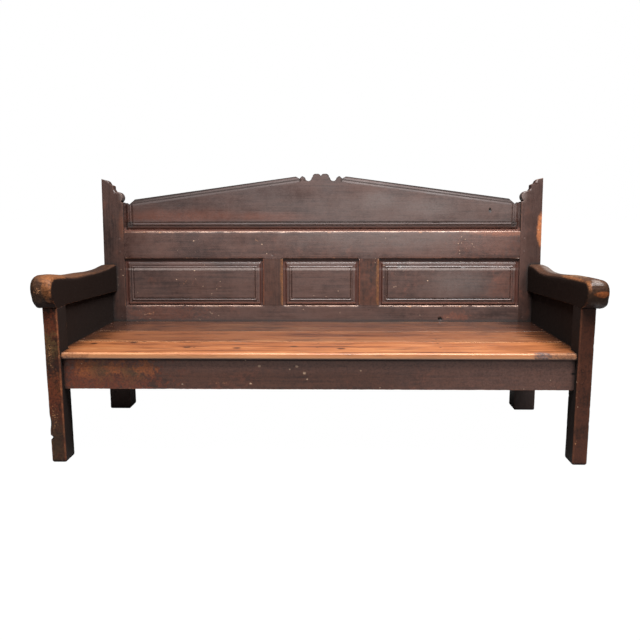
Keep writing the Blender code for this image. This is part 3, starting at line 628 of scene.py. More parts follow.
RAKE_SLOPE = 0.148  # fall of the crest's raking edges
RAKE_FROM = 0.25  # they start this far from the middle
RAKE_DARK, RAKE_PALE = 9 * MM, 12 * MM  # below their top, where the dark ends


def rake_top():
    """How high the raking edges would meet in the middle of the crest."""
    places = [v.co for v in nodes["crest_panel"].data.vertices if abs(v.co.x) > RAKE_FROM]
    return max(place.z + RAKE_SLOPE * abs(place.x) for place in places)


def raking_edge(g):
    """1 along the top of the crest's raking edges and 0 below it."""
    out = g.math("ABSOLUTE", g.part(g.place, X))
    height = g.add_up((g.part(g.place, Z), 1.0), (out, RAKE_SLOPE))
    top = rake_top()
    return g.between(height, top - RAKE_PALE, top - RAKE_DARK)


def dark_finish(name, grain, seed, look):
    """Old stain and varnish: streaked, rubbed red in places, worn to the wood along the arrises, with painted shade
    and highlights.
    """
    g = Graph(name)
    own = g.mapped(g.place, (1, 1, 1), (seed * 0.9, seed * 1.7, seed * 0.4))
    streak = g.noise(squeezed(g, seed, grain), 5.0, detail=6, roughness=0.65)
    broad = g.noise(own, 4.5, detail=3, roughness=0.5)
    mottle = g.noise(own, 48, detail=6, roughness=0.7)
    grit = g.noise(own, 260, detail=3, roughness=0.7)
    shade = g.add_up((streak, 0.34), (broad, 0.30), (mottle, 0.22), (grit, 0.14))
    body = toned(blended(BROWN, WARM, look.warm), look.tone)
    colour = g.mix(g.between(shade, 0.37, 0.58), toned(UMBER, look.tone), body)
    blush = g.add_up((g.noise(own, 11, detail=4, roughness=0.6), 0.6), (mottle, 0.4))
    blush = g.between(blush, 0.52 - look.red, 0.70 - look.red)
    colour = g.mix(g.math("MULTIPLY", blush, 0.55), colour, toned(RUSSET, look.tone))
    behind = g.math("MULTIPLY", g.between(facing(g, Y), 0.55, 0.80), look.raw)
    colour = g.mix(behind, colour, g.mix(g.between(shade, 0.36, 0.62), RAW_DARK, RAW_LIGHT))
    upward = g.add_up((facing(g, Z), 1.0), (mottle, 0.6))
    rubbed_top = g.math("MULTIPLY", g.between(upward, 0.80, 1.20), look.hands)
    colour = g.mix(rubbed_top, colour, HANDLED)
    dull = []
    for patch in look.patches:
        spot = g.spot(patch)
        colour = g.mix(g.math("MULTIPLY", spot, patch.strength), colour, patch.paint)
        dull.append((spot, patch.dull))
    spots = g.between(g.noise(own, 150, detail=5, roughness=0.75), 0.47, 0.60)
    colour = g.mix(g.math("MULTIPLY", spots, look.scuff), colour, toned(UMBER, 0.6))
    # Slopes that face up a little are painted dark, a painted shade that dims their highlight, and made rougher
    upslope_dull_and_shade = g.math("MULTIPLY", g.between(facing(g, Z), 0.04, 0.10), look.shelf)
    colour = g.mix(upslope_dull_and_shade, colour, UMBER)
    if look.rake:
        top = raking_edge(g)
        colour = g.mix(g.math("MULTIPLY", top, 0.8), colour, SOOT_AND_SHADE)
        dull.append((top, 0.5))
    # Painted shade along the sides and top of a panel's opening, where the frame stands proud
    recess_shade = shaded_border(g, look.shaded_opening) if look.shaded_opening else None
    if recess_shade:
        colour = g.mix(g.math("MULTIPLY", recess_shade, 0.85), colour, RECESS_SHADE)
        dull.append((recess_shade, -0.1))
    pitted = g.between(g.attribute("pitted"), 0.02, 0.20)
    arris = g.math("MULTIPLY", g.attribute("arris"), g.math("SUBTRACT", 1.0, pitted))
    dark_arris = g.math("MULTIPLY", g.between(arris, 0.45, 0.70), look.arris_dark)
    fray = g.add_up((g.noise(own, 60, detail=6, roughness=0.7), 0.6), (g.noise(own, 9, detail=2), 0.4))
    edge = g.math("ADD", arris, g.math("MULTIPLY", g.math("SUBTRACT", fray, 0.5), 1.6))
    colour = g.mix(g.math("MULTIPLY", g.between(edge, 0.40, 1.05), 0.6 * look.wear), colour, RUBBED)
    colour = g.mix(g.math("MULTIPLY", g.between(edge, 0.88, 1.15), 0.9 * look.wear), colour, BARE)
    colour = g.mix(dark_arris, colour, SOOT_AND_SHADE)
    # Painted highlight on the worn arrises that face up
    line = g.math("MULTIPLY", g.between(edge, 0.45, 0.75), g.between(facing(g, Z), 0.15, 0.40))
    line = g.math("MULTIPLY", line, g.between(g.part(g.place, X), *LIT_FROM))
    colour = g.mix(g.math("MULTIPLY", line, look.lit), colour, UPPER_ARRIS_HIGHLIGHT)
    chipped = g.between(g.attribute("chipped"), 0.25, 0.6)
    colour = g.mix(g.math("MULTIPLY", chipped, 0.8 * look.wear), colour, BARE)
    cells = g.cells(own, 130)
    fleck = g.math("LESS_THAN", cells.outputs["Distance"], 0.22)
    crowd = g.between(g.noise(own, 8, detail=2), 0.40, 0.64)
    rare = g.math("MULTIPLY", g.part(cells.outputs["Color"], X), crowd)
    flecks = g.math("MULTIPLY", fleck, g.between(rare, 0.86, 0.88))
    flecks = g.math("MULTIPLY", flecks, look.flecks)
    colour = g.mix(flecks, colour, CREAM)
    # Painted shade and dirt in tight corners, from the occlusion node
    corner = g.math("SUBTRACT", 1.0, corner_shade_and_grime(g, 20 * MM))
    corner = g.math("MULTIPLY", corner, look.darkening)
    colour = g.mix(corner, colour, toned(SOOT_AND_SHADE, look.tone))
    inner = g.between(g.math("MULTIPLY", facing(g, X), look.inside), 0.78, 0.95)
    thin = g.math("MULTIPLY", g.between(edge, 0.85, 1.10), 0.4)
    colour = g.mix(g.math("MULTIPLY", inner, g.math("SUBTRACT", 1.0, thin)), colour, toned(SOOT_AND_SHADE, 0.7))
    rim = g.math("MULTIPLY", g.between(arris, 0.78, 0.98), look.rim)
    rim = g.math("MULTIPLY", rim, g.between(g.part(g.place, Z), RIM_HIGH, RIM_LOW))
    colour = g.mix(rim, colour, RUBBED)
    # Pits are painted near-black: the dark of knots, and painted shade in the hollows
    colour = g.mix(pitted, colour, toned(SOOT_AND_SHADE, 0.4))
    g.feed(g.shader.inputs["Base Color"], colour)
    cloud = g.noise(g.mapped(own, (0.5, 1, 1)), 3.2, detail=3, roughness=0.5)
    patchy = g.noise(g.mapped(own, (0.6, 1, 1)), 17, detail=4, roughness=0.6)
    rough = g.add_up((mottle, 0.20), (streak, 0.10), (grit, 0.10), (flecks, 0.2), (behind, 0.3),
                     (corner, 0.3), (dark_arris, 0.5), (cloud, look.cloud), (pitted, -0.25), (inner, 0.3),
                     (rubbed_top, -0.10), (upslope_dull_and_shade, 0.50), (patchy, 0.30), *dull)
    g.feed(g.shader.inputs["Roughness"], g.math("ADD", rough, 0.15 - look.cloud / 2, clamp=True))
    g.shader.inputs["Specular IOR Level"].default_value = 0.6 * look.gloss
    if look.hands:
        g.feed(g.shader.inputs["Coat Weight"], g.math("ADD", g.math("MULTIPLY", rubbed_top, 0.3), look.coat))
    else:
        g.shader.inputs["Coat Weight"].default_value = look.coat
    g.shader.inputs["Coat Roughness"].default_value = 0.32
    g.bump((streak, 0.5 * MM * look.relief), (mottle, 0.5 * MM * look.relief), (grit, 0.15 * MM * look.relief))
    return g.material


# Knots on the seat, in metres along and across the bench
KNOTS = ((-0.844, -0.180), (-0.701, -0.152), (-0.479, -0.243), (-0.293, -0.259), (-0.088, -0.226), (0.085, -0.263))
KNOT_LONG, KNOT_WIDE = 0.018, 0.016
PINE_DARK = (0.080, 0.021, 0.008)
PINE = (0.250, 0.082, 0.027)
PINE_LIGHT = (0.360, 0.155, 0.060)
PINE_PALE = (0.500, 0.245, 0.120)
KNOT = (0.042, 0.013, 0.005)
# Brown for dirt, and darker for the painted shadow at the seat's ends
DIRT_AND_SHADE_BROWN = (0.045, 0.019, 0.011)
NOSE_FACE = -0.3485
SEAT_MARKS = (
    Patch((0.787, NOSE_FACE, 0.395), (0.030, 0.03, 0.018), SLATE, strength=0.95, ragged=2.0, scale=70),
    Patch((0.860, NOSE_FACE, 0.395), (0.080, 0.03, 0.016), (0.070, 0.032, 0.022), 0.75, ragged=3.4, scale=60),
    Patch((-0.895, NOSE_FACE, 0.383), (0.025, 0.02, 0.010), SLATE, strength=0.7, ragged=1.2, scale=60),
    Patch((-0.880, NOSE_FACE, 0.390), (0.070, 0.03, 0.016), PINE_DARK, strength=0.7, ragged=3.0, scale=60),
    Patch((0.527, 0.310, 0.405), (0.012, 0.008, 0.010), SOOT_AND_SHADE, strength=0.7, ragged=1.2, scale=80),
)


def seat_pine(name, seed, tone, darkening):
    """Pine rubbed bare: growth lines along the plank, dark knots, grime towards the back, painted shadow at the ends,
    painted shade in the corners and painted light on the nose.
    """
    g = Graph(name)
    own = g.mapped(g.place, (1, 1, 1), (seed * 0.9, seed * 1.7, 0))
    streak = g.noise(squeezed(g, seed, X), 4.0, detail=6, roughness=0.62)
    bands = g.noise(squeezed(g, seed + 5, X, 16), 1.6, detail=4, roughness=0.6, distortion=0.4)
    broad = g.noise(g.mapped(own, (0.5, 1, 1)), 7, detail=5, roughness=0.6)
    shade = g.add_up((streak, 0.22), (bands, 0.50), (broad, 0.28))
    colour = g.mix(g.between(shade, 0.36, 0.50), PINE_DARK, PINE)
    colour = g.mix(g.between(shade, 0.50, 0.66), colour, PINE_LIGHT)
    lines = g.noise(squeezed(g, seed + 9, X, 8), 6, detail=3, roughness=0.6)
    colour = g.mix(g.math("MULTIPLY", g.between(lines, 0.53, 0.66), 0.75), colour, PINE_DARK)
    smear = g.noise(g.mapped(own, (0.35, 1, 1)), 14, detail=6, roughness=0.7)
    # Painted shadow at both ends of the seat, where the arms and side panels shade it, reaching further in at the back
    end = g.math("ABSOLUTE", g.part(g.place, X))
    end = g.between(g.add_up((end, 1.0), (g.part(g.place, Y), 0.20), (smear, 0.24)), 0.90, 1.03)
    flat = g.between(facing(g, Z), 0.2, 0.7)
    dirt = g.add_up((smear, 0.7), (bands, 0.3))
    dirt = g.math("MULTIPLY", g.between(dirt, 0.58 - darkening, 0.76 - darkening), 0.85)
    colour = g.mix(dirt, colour, DIRT_AND_SHADE_BROWN)
    end = g.math("MULTIPLY", end, flat)
    colour = g.mix(g.math("MULTIPLY", end, 0.85), colour, toned(DIRT_AND_SHADE_BROWN, 0.5))
    for x, y in KNOTS:
        offset = g.vector("SUBTRACT", g.place, (x, y, 0.405))
        offset = g.vector("DIVIDE", offset, (KNOT_LONG, KNOT_WIDE, 0.05))
        length = g.vector("LENGTH", offset, (0, 0, 0), output=1)
        ring = g.math("ADD", length, g.math("MULTIPLY", g.noise(own, 90, detail=3), 0.7))
        colour = g.mix(g.math("SUBTRACT", 1.0, g.between(ring, 0.8, 1.5)), colour, KNOT)
    edge = g.math("ADD", g.attribute("arris"), g.math("MULTIPLY", g.math("SUBTRACT", broad, 0.5), 1.5))
    colour = g.mix(g.math("MULTIPLY", g.between(edge, 0.55, 1.0), 0.75), colour, PINE_PALE)
    # Painted highlight on the rounded nose where it faces up and forward, broken up by streaks
    nose_highlight = g.math("MULTIPLY", g.between(facing(g, Y), -0.15, -0.45), g.between(facing(g, Z), 0.25, 0.55))
    rubbed = g.between(g.add_up((broad, 0.5), (streak, 0.5)), 0.40, 0.60)
    colour = g.mix(g.math("MULTIPLY", g.math("MULTIPLY", nose_highlight, rubbed), 0.5), colour, PINE_PALE)
    # Painted light on the lower front of the nose, which faces down
    low = g.math("MULTIPLY", g.between(facing(g, Y), -0.3, -0.7), g.between(facing(g, Z), 0.35, -0.30))
    colour = g.mix(g.math("MULTIPLY", low, 0.65), colour, PINE_PALE)
    marked = 0.0
    for patch in SEAT_MARKS:
        spot = g.math("MULTIPLY", g.spot(patch), patch.strength)
        colour = g.mix(spot, colour, patch.paint)
        marked = g.math("MAXIMUM", spot, marked)
    under = g.between(facing(g, Z), -0.6, -0.2)
    colour = g.mix(under, BROWN, colour)
    colour = g.mix(1.0 - tone, colour, UMBER)
    # Painted shade and dirt in the tight corners
    colour = g.mix(corner_shade_and_grime(g, 20 * MM), SOOT_AND_SHADE, colour)
    g.feed(g.shader.inputs["Base Color"], colour)
    rough = g.add_up((streak, 0.40), (broad, 0.24), (dirt, 0.05), (end, -0.30), (marked, 0.4), (nose_highlight, 0.25))
    g.feed(g.shader.inputs["Roughness"], g.math("MAXIMUM", g.math("ADD", rough, 0.08), 0.12))
    g.shader.inputs["Specular IOR Level"].default_value = 0.4
    polish = g.math("MULTIPLY", flat, g.math("SUBTRACT", 1.0, g.math("MAXIMUM", g.math("MAXIMUM", dirt, end), marked)))
    g.feed(g.shader.inputs["Coat Weight"], g.math("MULTIPLY", polish, 0.26))
    g.shader.inputs["Coat Roughness"].default_value = 0.22
    g.bump((streak, 0.7 * MM), (bands, 0.8 * MM))
    return g.material


# Places of the marks that the boards carry, and of the light and shade painted on them, in metres
APRON_FACE = -0.3315
APRON_PALE = (0.150, 0.076, 0.060)
RED = (0.110, 0.026, 0.011)
ORANGE = (0.220, 0.062, 0.018)
OLIVE = (0.072, 0.043, 0.017)


def daub(centre, radius, paint, strength, dull=0.0):
    """A large soft blot of colour."""
    return Patch(centre, radius, paint, strength, ragged=4.2, scale=56, soft=0.3, broken=0.6, dull=dull)


def shade(centre, radius, paint, strength, dull):
    """A wide and very soft change of colour and shine."""
    return Patch(centre, radius, paint, strength, ragged=1.6, scale=15, soft=0.8, broken=0.4, dull=dull)


def dot(x, y, z, size):
    """A small pale spot where the finish is gone."""
    return Patch((x, y, z), (size, 0.03, size * 0.8), CREAM, 0.6, ragged=2.0, scale=240, soft=0.4, broken=0.4)


def specks(centre, radius, sparse=1.1):
    """A cluster of small chips."""
    return Patch(centre, radius, BARE, 0.55, ragged=3.0, scale=190, soft=0.12, broken=0.2, sparse=sparse)


APRON_MARKS = (
    # Painted light on the apron, against the shadow of the seat's nose
    Patch((0.0, APRON_FACE, 0.362), (1.8, 0.05, 0.024), APRON_PALE, 0.5, ragged=0.4, soft=0.9, broken=0.2),
    # Painted shadow along the top of the apron, under the seat's nose
    Patch((0.0, APRON_FACE, 0.381), (1.8, 0.05, 0.008), SOOT_AND_SHADE, 0.95, ragged=0.3, soft=0.2, broken=0.1, dull=0.3),
    daub((-0.770, APRON_FACE, 0.330), (0.200, 0.05, 0.070), RED, 0.9, 0.1),
    daub((-0.850, APRON_FACE, 0.330), (0.060, 0.05, 0.050), RED, 0.9, 0.1),
    daub((-0.815, APRON_FACE, 0.340), (0.050, 0.05, 0.034), ORANGE, 1.0, -0.05),
    daub((-0.760, APRON_FACE, 0.334), (0.050, 0.05, 0.035), OLIVE, 0.7, -0.1),
    daub((-0.715, APRON_FACE, 0.344), (0.042, 0.05, 0.028), ORANGE, 1.0, -0.05),
    daub((-0.660, APRON_FACE, 0.324), (0.050, 0.05, 0.032), OLIVE, 0.7, -0.1),
    daub((-0.615, APRON_FACE, 0.346), (0.040, 0.05, 0.024), ORANGE, 0.9, -0.05),
    daub((-0.740, APRON_FACE, 0.296), (0.150, 0.05, 0.028), RED, 0.6, -0.1),
    shade((0.750, APRON_FACE, 0.330), (0.350, 0.05, 0.090), APRON_PALE, 0.45, -0.05),
    dot(-0.072, APRON_FACE, 0.353, 0.0045),
    dot(-0.045, APRON_FACE, 0.329, 0.0050),
    dot(-0.036, APRON_FACE, 0.307, 0.0030),
    dot(-0.097, APRON_FACE, 0.343, 0.0030),
    dot(-0.205, APRON_FACE, 0.354, 0.0050),
    dot(-0.237, APRON_FACE, 0.290, 0.0035),
    dot(-0.481, APRON_FACE, 0.287, 0.0030),
    dot(0.154, APRON_FACE, 0.339, 0.0030),
    specks((0.200, APRON_FACE, 0.300), (0.12, 0.05, 0.014), 1.2),
    specks((-0.350, APRON_FACE, 0.292), (0.25, 0.05, 0.010), 1.2),
)
LEG_FACE = -0.3545
LEG_MARKS = {
    "left": (
        # Painted shadow at the top of the leg, under the arm's nose
        shade((-0.935, LEG_FACE, 0.575), (0.060, 0.05, 0.030), SOOT_AND_SHADE, 0.8, 0.1),
        daub((-0.940, LEG_FACE, 0.500), (0.030, 0.05, 0.060), RED, 0.9),
        daub((-0.945, LEG_FACE, 0.420), (0.030, 0.05, 0.060), OLIVE, 0.9),
        daub((-0.935, LEG_FACE, 0.330), (0.040, 0.05, 0.060), UMBER, 0.9),
        daub((-0.930, LEG_FACE, 0.285), (0.030, 0.05, 0.040), ORANGE, 0.35),
        daub((-0.945, LEG_FACE, 0.235), (0.030, 0.05, 0.070), RED, 0.9),
        daub((-0.930, LEG_FACE, 0.150), (0.030, 0.05, 0.050), ORANGE, 0.22),
        daub((-0.945, LEG_FACE, 0.080), (0.035, 0.05, 0.070), OLIVE, 0.7),
        daub((-0.935, LEG_FACE, 0.110), (0.030, 0.05, 0.080), UMBER, 0.7),
        specks((-0.940, LEG_FACE, 0.400), (0.030, 0.05, 0.120), 1.0),
        specks((-0.940, LEG_FACE, 0.170), (0.030, 0.05, 0.120), 1.0),
    ),
    "right": (
        # Painted shadow at the top of the leg, under the arm's nose
        shade((0.935, LEG_FACE, 0.570), (0.060, 0.05, 0.050), SOOT_AND_SHADE, 0.8, 0.1),
        specks((0.915, LEG_FACE, 0.080), (0.010, 0.05, 0.040), 1.0),
    ),
}
RAIL_MARKS = (
    shade((-0.905, 0.338, 0.740), (0.095, 0.05, 0.300), UMBER, 0.85, -0.28),
    shade((0.920, 0.338, 0.740), (0.090, 0.05, 0.300), UMBER, 0.65, -0.20),
    # Painted sheen along the middle of the rail
    shade((0.330, 0.338, 0.785), (0.450, 0.05, 0.060), PAINTED_SHEEN, 0.5, 0.12),
    daub((0.740, 0.338, 0.750), (0.140, 0.05, 0.050), RUSSET, 0.22),
    Patch((0.790, 0.338, 0.795), (0.130, 0.05, 0.014), (0.20, 0.070, 0.035), 0.6, ragged=1.8, soft=0.5),
    specks((-0.285, 0.340, 0.765), (0.070, 0.05, 0.030), 1.2),
    specks((-0.700, 0.340, 0.766), (0.160, 0.05, 0.040), 1.35),
    dot(-0.259, 0.339, 0.745, 0.0028),
    dot(-0.560, 0.339, 0.760, 0.0028),
)
FOOT_RAIL_MARKS = (
    specks((0.560, 0.321, 0.424), (0.035, 0.05, 0.016), 1.1),
    daub((0.600, 0.321, 0.425), (0.060, 0.05, 0.020), RUSSET, 0.5),
    specks((-0.760, 0.322, 0.440), (0.120, 0.05, 0.030)),
    daub((-0.700, 0.322, 0.440), (0.160, 0.05, 0.040), RUSSET, 0.35),
)
CREST_MARKS = (
    # Painted shade at both ends of the crest, in the corner beside the posts
    *(
        Patch((x, 0.355, 0.865), (0.015, 0.05, 0.095), toned(RECESS_SHADE, 0.45), 0.9, ragged=0.4, soft=0.2, dull=-0.2)
        for x in (-0.862, 0.862)
    ),
    # Painted shade over the left of the crest, where less light falls
    shade((-0.750, 0.352, 0.930), (0.650, 0.05, 0.140), UMBER, 0.40, -0.10),
    Patch((0.0, 0.350, 0.807), (1.6, 0.05, 0.011), RUSSET, 0.8, ragged=0.6, soft=0.4, broken=0.3, dull=0.20),
    shade((-0.620, 0.352, 0.866), (0.240, 0.05, 0.028), RUSSET, 0.45, 0.0),
    shade((-0.220, 0.352, 0.862), (0.160, 0.05, 0.020), RUSSET, 0.35, 0.0),
    shade((-0.170, 0.352, 0.965), (0.120, 0.05, 0.030), UMBER, 0.5, -0.12),
    # Painted sheen in two spots on the crest
    shade((0.240, 0.352, 0.935), (0.060, 0.05, 0.030), PAINTED_SHEEN, 0.3, 0.06),
    shade((0.480, 0.352, 0.900), (0.090, 0.05, 0.030), PAINTED_SHEEN, 0.3, 0.08),
    Patch((-0.034, 0.352, 0.935), (0.004, 0.03, 0.008), UMBER, 0.7, ragged=1.0, scale=200),
    # Painted sheen over the right of the crest
    shade((0.350, 0.352, 0.900), (0.480, 0.05, 0.070), PAINTED_SHEEN, 0.30, 0.0),
    # Painted shade in the quirk above the bead at the foot of the crest
    Patch((0.0, 0.352, 0.8415), (0.88, 0.05, 0.0040), SOOT_AND_SHADE, 0.8, ragged=0.4, soft=0.3, broken=0.1, dull=-0.25),
)
PANEL_MARKS = {
    "left": (
        specks((-0.600, 0.330, 0.576), (0.200, 0.05, 0.080), 1.3),
        dot(-0.560, 0.330, 0.630, 0.0030),
        dot(-0.640, 0.330, 0.590, 0.0025),
    ),
    "centre": (),
    "right": (
        # Painted sheen on the right panel
        shade((0.600, 0.330, 0.576), (0.120, 0.05, 0.060), PAINTED_SHEEN, 0.5, 0.08),
        daub((0.790, 0.330, 0.556), (0.060, 0.05, 0.060), RUSSET, 0.25),
        dot(0.470, 0.330, 0.585, 0.0025),
    ),
}
MUNTIN_EDGE = {"left": -0.170, "right": 0.253}
MUNTIN_WARM = {"left": 0.40, "right": 0.75}
MUNTIN_WIDTH = 0.086
EDGE_BROWN = (0.150, 0.058, 0.016)
MUNTIN_MARKS = {
    side: (
        Patch((x, 0.330, 0.580), (0.009, 0.05, 0.130), EDGE_BROWN, 0.7, ragged=1.8, scale=30, soft=0.4),
        Patch((x - MUNTIN_WIDTH, 0.330, 0.580), (0.006, 0.05, 0.130), RED, 0.5, ragged=1.6, scale=30, soft=0.4),
    )
    for side, x in MUNTIN_EDGE.items()
}
# Painted reflection on the carved tops of the posts
VOLUTE_REFLECTION_GREY = (0.150, 0.120, 0.110)
POST_MARKS = {
    "left": (
        shade((-0.870, 0.340, 0.740), (0.030, 0.05, 0.200), BROWN, 0.3, 0.0),
        shade((-0.876, 0.345, 0.825), (0.012, 0.05, 0.050), ORANGE, 0.2, 0.0),
        # Painted reflection on the left volute
        shade((-0.866, 0.345, 0.956), (0.016, 0.05, 0.026), VOLUTE_REFLECTION_GREY, 0.35, 0.15),
        shade((-0.900, 0.300, 0.100), (0.100, 0.10, 0.150), BROWN, 0.8, 0.1),
    ),
    "right": (
        shade((0.950, 0.345, 0.760), (0.050, 0.05, 0.350), UMBER, 0.35, -0.08),
        shade((0.872, 0.340, 0.740), (0.022, 0.05, 0.150), BROWN, 0.5, 0.05),
        shade((0.900, 0.300, 0.100), (0.100, 0.10, 0.150), UMBER, 0.7, 0.35),
        Patch((0.960, 0.340, 0.808), (0.019, 0.03, 0.074), (0.30, 0.100, 0.034), ragged=0.9, broken=0.4),
        Patch((0.930, 0.37, 1.035), (0.030, 0.04, 0.012), BARE, strength=0.7),
        # Painted reflection on the right volute
        shade((0.866, 0.345, 0.956), (0.018, 0.05, 0.028), VOLUTE_REFLECTION_GREY, 0.5, 0.15),
    ),
}
NOSE_BROWN = (0.060, 0.030, 0.017)
NOSE_TAN = (0.170, 0.064, 0.024)
# Painted sheen and glint on the arms
PAINTED_SHEEN_GREY = (0.150, 0.120, 0.105)
ARM_DARK = (0.024, 0.011, 0.007)
ARM_CHIP = (0.260, 0.150, 0.080)
ARM_MARKS = {
    "left": (
        shade((-0.945, 0.200, 0.660), (0.080, 0.190, 0.060), ARM_DARK, 0.95, 0.0),
        # Painted sheen along the outer rim of the arm's top
        Patch((-0.978, 0.200, 0.660), (0.010, 0.120, 0.030), PAINTED_SHEEN_GREY, strength=0.5, ragged=1.0),
        Patch((-0.958, -0.400, 0.630), (0.030, 0.050, 0.050), NOSE_BROWN, strength=0.9, scale=70),
        Patch((-0.922, -0.390, 0.640), (0.016, 0.050, 0.050), NOSE_TAN, strength=0.9, scale=70),
        Patch((-0.920, -0.330, 0.672), (0.030, 0.120, 0.020), NOSE_TAN, strength=0.9, ragged=1.6),
        specks((-0.950, -0.400, 0.630), (0.030, 0.05, 0.030), 0.9),
   ),
    "right": (
        shade((0.940, -0.030, 0.660), (0.090, 0.420, 0.060), ARM_DARK, 0.95, 0.0),
        Patch((0.940, -0.180, 0.660), (0.050, 0.200, 0.030), ARM_CHIP, 0.8, ragged=3.4, scale=80, sparse=0.7),
        Patch((0.945, -0.405, 0.640), (0.060, 0.050, 0.060), toned(NOSE_BROWN, 0.6), strength=0.9),
        Patch((0.955, -0.410, 0.620), (0.026, 0.030, 0.010), ORANGE, strength=0.85, broken=0.4),
        # Painted glint on the nose
        Patch((0.940, -0.395, 0.664), (0.014, 0.030, 0.010), PAINTED_SHEEN_GREY, strength=0.8),
        # Painted sheen along the rear of the arm's top
        Patch((0.968, 0.150, 0.650), (0.026, 0.190, 0.030), PAINTED_SHEEN_GREY, strength=0.9, ragged=1.0, soft=0.4, broken=0.3),
        Patch((0.915, -0.385, 0.645), (0.006, 0.040, 0.020), NOSE_TAN, strength=0.9),
        Patch((0.914, -0.230, 0.655), (0.008, 0.150, 0.008), NOSE_TAN, strength=0.9, ragged=2.0),
   ),
}


def opening(left, right):
    """The left, right and upper edges of the opening between two uprights."""
    return BOXES[left][1][X], BOXES[right][0][X], BOXES["middle_rail"][0][Z]


OPENINGS = {
    "left": opening("post_left", "muntin_left"),
    "centre": opening("muntin_left", "muntin_right"),
    "right": opening("muntin_right", "post_right"),
}

# A painted highlight along the upper edge of each field, rougher than the rest
FIELD_SHINE = Patch((0.0, 0.335, 0.6355), (1.6, 0.05, 0.005), (0.20, 0.16, 0.145), 0.6, ragged=0.8, soft=0.4,
                    broken=0.3, dull=0.15)
# A lighter red band along the bottom of each opening
LOWER_RED_BAND = Patch((0.0, 0.335, 0.481), (1.6, 0.05, 0.009), RUSSET, 0.8, ragged=0.6, soft=0.4, broken=0.3, dull=0.20)


def look_of(name):
    """How one dark board has aged, and where light and shade are painted on it."""
    side = name.split("_")[-1]
    inwards = {"left": 1, "right": -1}.get(side, 0)
    if name == "apron":
        return Look(0.92, wear=0.7, warm=0.5, gloss=0.5, coat=0.05, scuff=0.35, patches=APRON_MARKS)
    if name == "middle_rail":
        return Look(0.95, -0.05, 0.4, lit=0.9, relief=0.8, patches=RAIL_MARKS)
    if name == "bottom_rail":
        return Look(0.85, -0.05, 0.4, lit=0.8, relief=0.8, patches=FOOT_RAIL_MARKS)
    if name == "crest_panel":
        return Look(0.75, -0.08, 0.0, coat=0.05, arris_dark=0.7, relief=0.4, flecks=0.0, darkening=0.15, cloud=0.5,
                    shelf=0.60, rake=True, patches=CREST_MARKS)
    if name.startswith("back_panel"):
        return Look(0.85, -0.05, 0.0, relief=0.6, flecks=0.5, darkening=0.12, shaded_opening=OPENINGS[side],
                    patches=(*PANEL_MARKS[side], FIELD_SHINE, LOWER_RED_BAND))
    if name.startswith("muntin"):
        return Look(0.72, MUNTIN_WARM[side] * 0.2 - 0.10, 0.35, warm=MUNTIN_WARM[side], gloss=0.7, relief=0.8,
                    patches=MUNTIN_MARKS[side])
    if name.startswith("post"):
        return Look(0.55, -0.02, 0.15, gloss=0.55, coat=0.2, patches=POST_MARKS[side])
    if name.startswith("arm"):
        return Look(0.25, 0.0, 0.15, gloss=0.12, coat=0.0, hands=0.9, raw=0.0, scuff=0.4, inside=inwards, rim=0.3,
                    patches=ARM_MARKS[side])
    if name.startswith("side_panel"):
        return Look(0.2, 0.0, 0.2, gloss=0.2, coat=0.0, raw=0.0, inside=inwards)
    if name.startswith("front_leg"):
        return Look(LEG_TONE[side], LEG_RED[side], LEG_WEAR[side], warm=1.0, gloss=0.2, coat=0.03, raw=0.0,
                    scuff=LEG_SCUFF[side], inside=inwards, patches=LEG_MARKS[side])
    return Look(0.6, gloss=0.5, coat=0.05)


LEG_TONE = {"left": 0.47, "right": 0.60}
LEG_RED = {"left": 0.10, "right": 0.16}
LEG_SCUFF = {"left": 0.6, "right": 0.4}
LEG_WEAR = {"left": 0.50, "right": 0.22}
PLANK_TONE = {"front": 1.0, "middle": 0.58, "rear": 0.29}
PLANK_GRIME = {"front": -0.04, "middle": 0.06, "rear": 0.14}


def finish_of(name, wear, seed):
    """The material of one board."""
    if name.startswith("seat_plank"):
        place = name.split("_")[-1]
        return seat_pine(f"{name}_pine", seed, PLANK_TONE[place], PLANK_GRIME[place])
    return dark_finish(f"{name}_finish", wear.grain, seed, look_of(name))


for seed, (name, wear) in enumerate(BOARDS.items(), start=1):
    board = worn_board(name, wear, seed)
    board.data.materials.append(finish_of(name, wear, seed))

PEG_LOOKS = {
    "back": Look(0.85, -0.1, 0.0, coat=0.1, raw=0.0, flecks=0.0, darkening=0.3),
    "base": Look(0.62, 0.1, 0.0, warm=1.0, gloss=0.25, coat=0.03, raw=0.0, flecks=0.0, darkening=0.3),
}
PEG_LOOKS["seat"] = Look(0.9, 0.0, 0.3, warm=1.0, gloss=0.5, coat=0.1, raw=0.0, flecks=0.0, darkening=0.5)
peg_finishes = {place: dark_finish(f"peg_{place}", Y, 40, look) for place, look in PEG_LOOKS.items()}
for name, node in nodes.items():
    if name.startswith("peg_"):
        in_back = name.startswith(("peg_middle_rail", "peg_bottom_rail", "peg_muntin"))
        node.material_slots[0].material = peg_finishes["back" if in_back else "base"]

# Wooden nails that hold the planks down on the bearers and the side rails
NAIL_ROWS = {"front": (-0.245, -0.165), "middle": (-0.085, 0.035), "rear": (0.130, 0.255)}
NAIL_COLUMNS = (-0.917, -0.45, 0.0, 0.45, 0.917)
NAIL_RADIUS = 5.5 * MM
NAIL_LENGTH = 14 * MM
NAIL_PROUD = 0.5 * MM
NAIL_SIDES = 9


